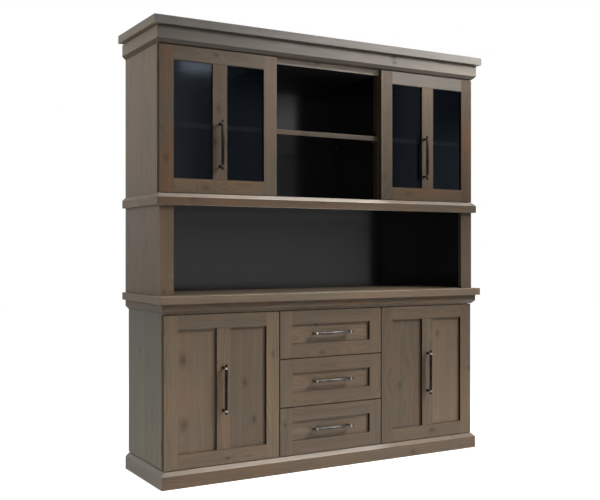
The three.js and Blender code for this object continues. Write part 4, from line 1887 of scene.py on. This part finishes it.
@dataclass(frozen=True)
class Hutch:
    """The hutch's case: sides with posts, dividers, shelves, top and back panel."""

    half_x: float = 878.5
    z: Span = (841.0, 2020.0)
    niche_top: float = 1239.0
    floor_z: float = 1291.0
    door_z: Span = (1293.0, 1942.0)
    top: Span = (1917.0, 1945.0)
    cubby: float = 293.0
    board_t: float = BOARD_T
    shelf_z: float = 1588.5
    post_w: float = 68.0
    shelf_inset: float = 6.0
    lipping: float = 5.0
    upright_lipping: float = 40.0
    lining: float = 1.0
    lining_inset: float = 3.0
    back_lap: float = 10.0  # how far the back panel reaches into the sides

    @property
    def inner(self) -> float:
        """The side panels' inner faces, off the middle."""
        return self.half_x - self.board_t

    def build(self) -> None:
        """Builds the hutch's case."""
        self.build_sides()
        self.build_boards()
        BackPanel("hutch_back", self.inner + self.back_lap, self.z).build()

    def build_sides(self) -> None:
        """Builds the side panels with their posts, and the lacquered lining inside."""
        for side in Side:
            name = f"hutch_side_{side.word}"
            piece = Piece(
                f"{name}_staves", Slot.WOOD, [MATT, STAINED], replaces=[name], flank=0
            )
            panel = SidePanel(self.half_x, HUTCH_EDGE_Y, self.z, self.door_z, HUTCH_SIDE)
            panel.add_to(piece, side)
            post = (
                side.span(self.half_x - self.post_w, self.half_x),
                (HUTCH_FACE_Y, HUTCH_EDGE_Y),
                (self.z[0], self.niche_top),
            )
            piece.board("post", board(post, Axis.Z), finish=1, look=POST_LOOKS[side])
            piece.finish()
            lining = Piece(f"{name}_lining", Slot.BLACK, [BLACK])
            x = side.span(self.inner - self.lining, self.inner)
            depth = (HUTCH_EDGE_Y + self.lining_inset, PANEL_BACK_Y)
            for z in ((self.z[0], self.niche_top), (self.floor_z, self.top[0])):
                sheet = board((x, depth, z), Axis.Z, eases=(0.3,))
                lining.board(f"sheet {z[0]}", sheet, look=CLEAN)
            lining.finish()

    def build_boards(self) -> None:
        """Builds the dividers, top and shelves: lacquered boards with a wooden lipping."""
        shelf = (self.shelf_z, self.shelf_z + self.board_t)
        edge = HUTCH_EDGE_Y + self.shelf_inset
        rows: list[tuple[str, Span, Span, float, Axis]] = [
            ("hutch_top", (-self.inner, self.inner), self.top, edge, Axis.X),
            ("hutch_shelf_centre", (-self.cubby, self.cubby), shelf, edge, Axis.X),
        ]
        for side in Side:
            outer = self.cubby + self.board_t
            clear_z = (self.floor_z, self.top[0])
            divider = side.span(self.cubby, outer)
            name = f"hutch_divider_{side.word}"
            rows.append((name, divider, clear_z, HUTCH_EDGE_Y, Axis.Z))
            bay = side.span(outer, self.inner)
            rows.append((f"hutch_shelf_{side.word}", bay, shelf, edge, Axis.X))
        edges = Piece("hutch_lippings", Slot.WOOD, [STAINED])
        for name, x, z, y, grain in rows:
            lacquer = DULL if name == "hutch_top" else BLACK
            core = Piece(f"{name}_core", Slot.BLACK, [lacquer], replaces=[name])
            seam = y + (self.lipping if grain is Axis.X else self.upright_lipping)
            spans = (x, (seam, PANEL_BACK_Y), z)
            core.board("core", board(spans, grain, eases=(0.6,)), look=CLEAN)
            core.finish()
            lip = board((x, (y, seam), z), grain, eases=(0.8,))
            edges.board(name, lip, look=LIP_LOOKS.get(name, Look(0.4, 0.5, 0.0)))
        edges.finish()


@dataclass(frozen=True)
class MidBoard:
    """The board between niche and doors: mitred strips on a lacquered core."""

    half_x: float = 894.5
    front_y: float = -214.0
    z: Span = (1239.0, 1291.0)

    def build(self) -> None:
        """Builds the board."""
        piece = Piece("mid_board_strips", Slot.WOOD, [EDGE_LIT, MATT], replaces=["mid_board"])
        strips = Moulding(self.half_x, self.front_y, self.z, STRIP, "top")
        # The top slope and its edges are painted pale, as a painted highlight.
        legs = strips.legs(eases=(1.0, 1.0, 2.0, 0.3), glazed={2: 0.5})
        knots = ((-720.0, 8.0, 10.0), (-60.0, 6.0, 8.0))
        add_legs(piece, legs, Look(0.58, 0.6, 0.08, -0.02, knots), Look(0.95, 0.2, 0.15))
        piece.board("filler", strips.filler(HUTCH_EDGE_Y))
        piece.finish()
        core = Piece("mid_board_core", Slot.BLACK, [BLACK])
        inner = self.half_x - STRIP - BOARD_T
        spans = ((-inner, inner), (HUTCH_EDGE_Y, PANEL_BACK_Y), self.z)
        core.board("core", board(spans, Axis.X, eases=(0.3,)), look=CLEAN)
        core.finish()


@dataclass(frozen=True)
class Cornice:
    """The frieze moulding and the crown board on it."""

    half_x: float = 894.5
    front_y: float = -214.0
    z: Span = (1945.0, 2020.0)
    lip: float = 20.0
    crown_t: float = 37.0
    rail: float = 70.0
    past: float = 2.0  # how far the kerfs' cuts run out of the wood

    def build(self) -> None:
        """Builds the frieze and the crown."""
        frieze = Piece("frieze_strips", Slot.WOOD, [SHADE_EDGED, EDGED], replaces=["frieze_moulding"])
        strips = Moulding(self.half_x, self.front_y, self.z, STRIP, "foot")
        # The frieze's underside is painted dark, as painted shade beneath it.
        legs = {
            place: replace(stick, glazed={0: 0.45}) for place, stick in strips.legs().items()
        }
        z = (self.z[1] - KERF, self.z[1] + self.past)
        ahead = (self.front_y - self.past, self.front_y + KERF)
        kerfs = {"front": box((grown((-self.half_x, self.half_x), self.past), ahead, z))}
        for side in Side:
            x = side.span(self.half_x - KERF, self.half_x + self.past)
            kerfs[side.word] = box((x, grown((self.front_y, BACK_Y), self.past), z))
        # The front leg is greyed and grows lighter to the right: painted sheen and painted light
        # from the upper right.
        looks = (Look(1.12, 0.0, 0.65, 0.36), Look(1.42, 0.05, 0.4))
        add_legs(frieze, legs, *looks, kerfs)
        frieze.board("filler", strips.filler(HUTCH_EDGE_Y))
        frieze.finish()
        crown = Piece("crown_boards", Slot.WOOD, [STAINED, MATT], replaces=["crown_board"])
        half_x = self.half_x + self.lip
        front = self.front_y - self.lip
        z = (self.z[1], self.z[1] + self.crown_t)
        legs = Moulding(half_x, front, z, self.rail).legs()
        # The crown's front leg is greyed and grows lighter to the right: painted sheen and painted
        # light from the upper right.
        add_legs(crown, legs, Look(1.02, 0.0, 0.9, 0.31), Look(1.4, 0.05, 0.4))
        inner = half_x - self.rail
        spans = ((-inner, inner), (front + self.rail, BACK_Y), z)
        crown.glue("field", staves(spans, Axis.X, Axis.Y))
        crown.finish()


@dataclass(frozen=True)
class ShelfPins:
    """Steel pins under the shelves, four to each."""

    radius: float = 2.4
    reach: float = 7.0
    depths: Span = (-130.0, 205.0)
    # For each row: its shelf's underside, the face that it stands in, and its way out of there.
    ends: tuple[tuple[float, float, int], ...] = (
        (430.0, 299.0, 1),
        (430.0, 840.5, -1),
        (1588.5, 315.0, 1),
        (1588.5, 855.5, -1),
        (1588.5, 293.0, -1),
    )

    def build(self) -> None:
        """Builds the pins of the five shelves in one piece."""
        piece = Piece("shelf_pins", Slot.STEEL, [ZINC])
        for z, x, way in self.ends:
            for side in Side:
                for y in self.depths:
                    self.add_pin(piece, Vector((side.value * x, y, z)), side.out * way)
        piece.finish()

    def add_pin(self, piece: Piece, shelf: Vector, out: Vector) -> None:
        """Adds one pin.

        Args:
            piece: Piece that it joins.
            shelf: Point of the shelf's underside, at the face of the board beside it.
            out: Way from that board.
        """
        foot = shelf - Axis.Z.vector * self.radius
        collar, tip = self.radius + 0.9, self.radius - 0.5
        profile = [(collar, 0.0), (collar, 0.8), (self.radius, 1.0)]
        profile += [(self.radius, self.reach - 0.5), (tip, self.reach)]
        piece.turn(profile, out, foot - Axis.Z.vector * 0.9, sides=16)



# Doors and drawers

# How the boards of each front look, with the knots where the photo shows them.
BASE_LOOKS = {
    Side.LEFT: {
        "stile_left": Look(0.99, 0.3, fade=-0.08, knots=()),
        "stile_right": Look(1.02, 0.1, 0.05, -0.05, ((142.0, 0.0, 6.0),)),
        "panel_1": Look(0.9, 0.3, 0.1, -0.06, ((140.0, -62.0, 13.0), (-150.0, -60.0, 12.0))),
        "panel_2": Look(0.72, 0.2, knots=((18.0, -14.0, 9.0), (-155.0, 36.0, 8.0))),
        "head": Look(0.73, 0.15, 0.12, knots=()),
        "foot": Look(0.9, 0.25, knots=((20.0, -8.0, 6.0),)),
        "mullion": Look(0.86, 0.3, knots=()),
    },
    Side.RIGHT: {
        "stile_left": Look(0.62, fade=-0.05, knots=()),
        "stile_right": Look(0.88, 0.25, 0.05, -0.18, ((0.0, 22.0, 6.0),)),
        "panel_1": Look(0.66, 0.3, 0.1, -0.08, ((-60.0, -40.0, 8.0),)),
        "panel_2": Look(0.95, 0.3, 0.1, -0.16, ((190.0, -50.0, 8.0),)),
        "head": Look(0.72, 0.15, 0.12, knots=()),
        "foot": Look(0.8, knots=((30.0, 4.0, 9.0),)),
        "mullion": Look(0.8, knots=()),
    },
}
GLASS_LOOKS = {
    Side.LEFT: {
        "stile_left": Look(0.65, 0.7, 0.0, 0.03, ((-170.0, 0.0, 9.0),)),
        "stile_right": Look(0.84, 0.25, 0.1, 0.2, ()),
        "head": Look(0.77, 0.15, 0.12, 0.06, ((-20.0, 6.0, 6.0),)),
        "foot": Look(0.8, 0.45, 0.0, knots=((-70.0, -6.0, 8.0),)),
        "mullion": Look(0.66, 0.3, 0.05, 0.03, ((60.0, -8.0, 9.0), (-90.0, -24.0, 9.0))),
    },
    # The right door is greyed at its head, lighter towards it and dark at its foot: painted sheen
    # and painted light from the upper right.
    Side.RIGHT: {
        "stile_left": Look(0.55, 0.25, 0.12, 0.38, ((-205.0, -8.0, 6.0),)),
        "stile_right": Look(0.5, 0.8, 0.0, 0.33, ()),
        "head": Look(0.91, 0.0, 0.6, knots=()),
        "foot": Look(0.46, 0.6, 0.0, knots=((-120.0, 4.0, 7.0),)),
        "mullion": Look(0.66, 0.3, 0.08, 0.36, ()),
    },
}
DRAWER_LOOKS = {
    "stile_left": Look(0.78),
    "stile_right": Look(0.74),
    "head": Look(0.7),
    "foot": Look(0.73, 0.25),
    "panel": Look(0.88, 0.25),
}
DRAWER_FEET = (532.333, 304.667, 77.0)
DRAWER_HIGH = 224.667


def base_door(side: Side) -> HungDoor:
    """Lays out the panelled door of one side.

    Args:
        side: Side of the dresser.

    Returns:
        The door.
    """
    name = f"base_door_{side.word}"
    x, z = side.span(289.5, 862.5), (77.0, 757.0)
    leaf = FramedLeaf(name, x, z, BASE_FACE_Y, 67.0, 66.0, looks=BASE_LOOKS[side])
    return HungDoor(leaf, side, side.value * 576.0, 417.0, "base")


def glass_door(side: Side) -> HungDoor:
    """Lays out the glazed door of one side.

    Args:
        side: Side of the dresser.

    Returns:
        The door.
    """
    name = f"glass_door_{side.word}"
    x, z = side.span(296.0, 878.5), (1293.0, 1942.0)
    form = {"seat": (7.0, 11.6), "shade": 0.6, "looks": GLASS_LOOKS[side]}
    leaf = FramedLeaf(name, x, z, HUTCH_FACE_Y, 65.0, 71.0, **form)
    pull_x = -587.25 if side is Side.LEFT else 563.25
    return HungDoor(leaf, side, pull_x, 1513.5, "glass", (BRONZE, SHADED_BRONZE))


def build_doors() -> None:
    """Builds the four doors and glazes the upper two."""
    for side in Side:
        panelled = base_door(side)
        panelled.build()
        panelled.leaf.build_panels(Axis.Z)
        glazed = glass_door(side)
        glazed.build()
        for i in (1, 2):
            pane = bpy.data.objects[f"{glazed.leaf.name}_pane_{i}"]
            pane.data.materials.clear()
            pane.data.materials.append(GLASS.material())


def build_drawers() -> None:
    """Builds the three drawers, from the top."""
    for number, foot in enumerate(DRAWER_FEET, start=1):
        name = f"drawer_{number}"
        x, z = (-286.5, 286.5), (foot, foot + DRAWER_HIGH)
        front = FramedLeaf(name, x, z, BASE_FACE_Y, 67.0, looks=DRAWER_LOOKS)
        front.build_frame()
        front.build_panels(Axis.X)
        DrawerBox(number, foot).build()
        at = Vector((0.0, BASE_FACE_Y + front.seat[0], foot + 112.333))
        PULL.build(f"{name}_bar_pull", name, at, Axis.X, f"{name}_pull", (LIT_BRONZE, RUBBED))


# Studio


@dataclass(frozen=True)
class SoftBox:
    """A soft studio light: a rectangle that faces a point."""

    name: str
    at: tuple[float, float, float]
    toward: tuple[float, float, float]
    size: Span
    watts: float
    mirrored: bool = True
    grid_deg: float = 180.0  # how wide its honeycomb grid lets the light spread

    def hang(self) -> None:
        """Hangs the light in the scene."""
        light = bpy.data.lights.new(self.name, "AREA")
        light.shape = "RECTANGLE"
        light.size, light.size_y = self.size
        light.energy = self.watts
        light.spread = math.radians(self.grid_deg)
        item = bpy.data.objects.new(self.name, light)
        item.location = self.at
        way = Vector(self.toward) - item.location
        item.rotation_euler = way.to_track_quat("-Z", "Y").to_euler()
        item.visible_camera = False
        item.visible_glossy = self.mirrored
        bpy.context.scene.collection.objects.link(item)


@dataclass(frozen=True)
class Patch:
    """A soft-edged part of the surround, by the direction in which a mirror sees it."""

    level: float  # how light it is
    # Along X, Y or Z of the direction, where the patch starts and where it is full.
    edges: tuple[tuple[Axis, float, float], ...]

    def cover(self, tree: bpy.types.NodeTree, way: Node) -> Node:
        """Makes the nodes that tell how far a direction lies in the patch.

        Args:
            tree: Node tree that they join.
            way: The direction, in its three parts.

        Returns:
            The node with the share.
        """
        cover: Link = 1.0
        for axis, start, full in self.edges:
            levels = (way.outputs[axis.value], start, full)
            edge = add_node(tree, "MapRange", levels, interpolation_type="SMOOTHSTEP")
            cover = add_node(tree, "Math", (cover, edge), operation="MULTIPLY")
        return cover


@dataclass(frozen=True)
class Studio:
    """A pale floor, a white surround and soft boxes, seen by the photo's camera."""

    camera_at: tuple[float, float, float] = (-2.3021, -3.8908, 1.0417)
    turn_deg: float = -29.952
    lens_mm: float = 54.07
    sky: float = 0.12  # the surround's light on what is matt
    glow: float = 0.94  # the floor's own light, to the eye and in mirrors
    far: float = 12.0  # how far the floor reaches
    # Behind the camera the room is dark, and has furniture and a curtain.
    patches: tuple[Patch, ...] = (
        Patch(0.2, ((Axis.Y, -0.1, -0.5), (Axis.Z, 0.55, 0.3))),
        Patch(0.2, ((Axis.X, 0.48, 0.51), (Axis.X, 0.59, 0.575))),
        Patch(0.15, ((Axis.X, 0.413, 0.43), (Axis.X, 0.5, 0.48), (Axis.Z, 0.157, 0.175))),
        Patch(0.15, ((Axis.X, 0.603, 0.615), (Axis.Z, 0.1, 0.15))),
        Patch(2.2, ((Axis.X, 0.397, 0.38), (Axis.Z, 0.05, 0.065))),
    )
    # A pale wall stands further off, low down.
    wall: Patch = Patch(
        0.88, ((Axis.Z, -0.075, -0.055), (Axis.Z, 0.05, 0.026), (Axis.X, 0.586, 0.552))
    )
    boxes: tuple[SoftBox, ...] = (
        SoftBox("key", (2.85, -3.47, 4.2), (-0.3, -0.2, 0.35), (1.3, 1.3), 26.0, grid_deg=50.0),
        SoftBox("right_top", (1.7, -0.9, 2.7), (0.7, -0.2, 1.9), (0.7, 0.5), 16.0),
        SoftBox("overhead", (1.35, -0.55, 3.9), (1.35, -0.54, 0.0), (2.1, 1.8), 70.0),
        SoftBox("low_fill", (-0.6, -2.6, 0.3), (-0.3, 0.0, 0.35), (3.2, 0.4), 10.0, mirrored=False),
        SoftBox("left_fill", (-4.0, 2.2, 1.6), (-0.88, 0.03, 1.0), (2.5, 2.5), 55.0),
        SoftBox("window_left", (0.93, -3.9, 2.83), (-0.73, -0.2, 1.8), (0.31, 0.4), 1.05),
        SoftBox("window_middle", (2.33, -3.9, 2.38), (0.0, 0.24, 1.7), (0.62, 0.35), 1.2),
    )

    def build(self) -> None:
        """Builds the studio."""
        self.place_camera()
        self.light_world()
        for light in self.boxes:
            light.hang()
        self.lay_floor()

    def place_camera(self) -> None:
        """Places the camera at the photo's view."""
        camera = bpy.data.cameras.new("photo_camera")
        camera.lens = self.lens_mm
        camera.sensor_width = 36.0
        item = bpy.data.objects.new("photo_camera", camera)
        item.location = self.camera_at
        item.rotation_euler = (math.radians(90), 0.0, math.radians(self.turn_deg))
        bpy.context.scene.collection.objects.link(item)
        bpy.context.scene.camera = item
        bpy.context.scene.view_settings.view_transform = "Standard"

    def light_world(self) -> None:
        """Makes the surround: white to the eye, a room in mirrors, and softer on the wood."""
        world = bpy.data.worlds.new("studio")
        world.use_nodes = True
        tree = world.node_tree
        tree.nodes.clear()
        at = add_node(tree, "TexCoord").outputs["Generated"]
        way = add_node(tree, "SeparateXYZ", (at,))
        mirror: Link = 1.0
        for patch in self.patches:
            levels = (patch.cover(tree, way), 0.0, 1.0, 1.0, patch.level)
            level = add_node(tree, "MapRange", levels)
            mirror = add_node(tree, "Math", (mirror, level), operation="MULTIPLY")
        wall = (self.wall.cover(tree, way), self.wall.level)
        pale = add_node(tree, "Math", wall, operation="MULTIPLY")
        mirror = add_node(tree, "Math", (mirror, pale), operation="MAXIMUM")
        path = add_node(tree, "LightPath").outputs
        rays = (path["Is Camera Ray"], path["Is Transmission Ray"])
        seen = add_node(tree, "Math", rays, operation="MAXIMUM")
        mix = {"Factor": path["Is Glossy Ray"], "A": self.sky, "B": mirror}
        gloss = add_node(tree, "Mix", mix, data_type="FLOAT")
        mix = {"Factor": seen, "A": gloss, "B": 1.0}
        strength = add_node(tree, "Mix", mix, data_type="FLOAT")
        white = {"Color": linear("#ffffff"), "Strength": strength}
        sky = add_node(tree, "Background", white)
        add_node(tree, "OutputWorld", {"Surface": sky})
        bpy.context.scene.world = world

    def lay_floor(self) -> None:
        """Lays the floor, which shades under the dresser and is otherwise white to the eye."""
        material = bpy.data.materials.new("pale_floor")
        material.use_nodes = True
        tree = material.node_tree
        tree.nodes.clear()
        at = add_node(tree, "TexCoord").outputs["Object"]
        cloud = add_node(tree, "TexNoise", {"Vector": at, "Scale": 2.0})
        mix = {"Factor": cloud, "A": linear("#c6c6c4"), "B": linear("#cfcfcd")}
        shade = add_node(tree, "Mix", mix, data_type="RGBA")
        path = add_node(tree, "LightPath").outputs
        rays = (path["Is Camera Ray"], path["Is Glossy Ray"])
        seen = add_node(tree, "Math", rays, operation="MAXIMUM")
        glow = add_node(tree, "Math", (seen, self.glow), operation="MULTIPLY")
        surface = add_node(tree, "BsdfDiffuse", {"Color": shade})
        lift = add_node(tree, "Emission", {"Strength": glow})
        both = add_node(tree, "AddShader", (surface, lift))
        add_node(tree, "OutputMaterial", {"Surface": both})
        mesh = bpy.data.meshes.new("floor")
        corners = [(-1, -1), (1, -1), (1, 1), (-1, 1)]
        points = [(x * self.far, y * self.far, 0.0) for x, y in corners]
        mesh.from_pydata(points, [], [(0, 1, 2, 3)])
        mesh.materials.append(material)
        item = bpy.data.objects.new("floor", mesh)
        bpy.context.scene.collection.objects.link(item)


def main() -> None:
    """Builds the dresser around the frame."""
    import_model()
    for part in (Plinth(), LowCase(), Apron(), Counter(), Hutch(), MidBoard(), Cornice()):
        part.build()
    build_doors()
    build_drawers()
    ShelfPins().build()
    Studio().build()


if __name__ == "__main__":
    logging.basicConfig(level=logging.INFO, format="%(name)s: %(message)s")
    main()
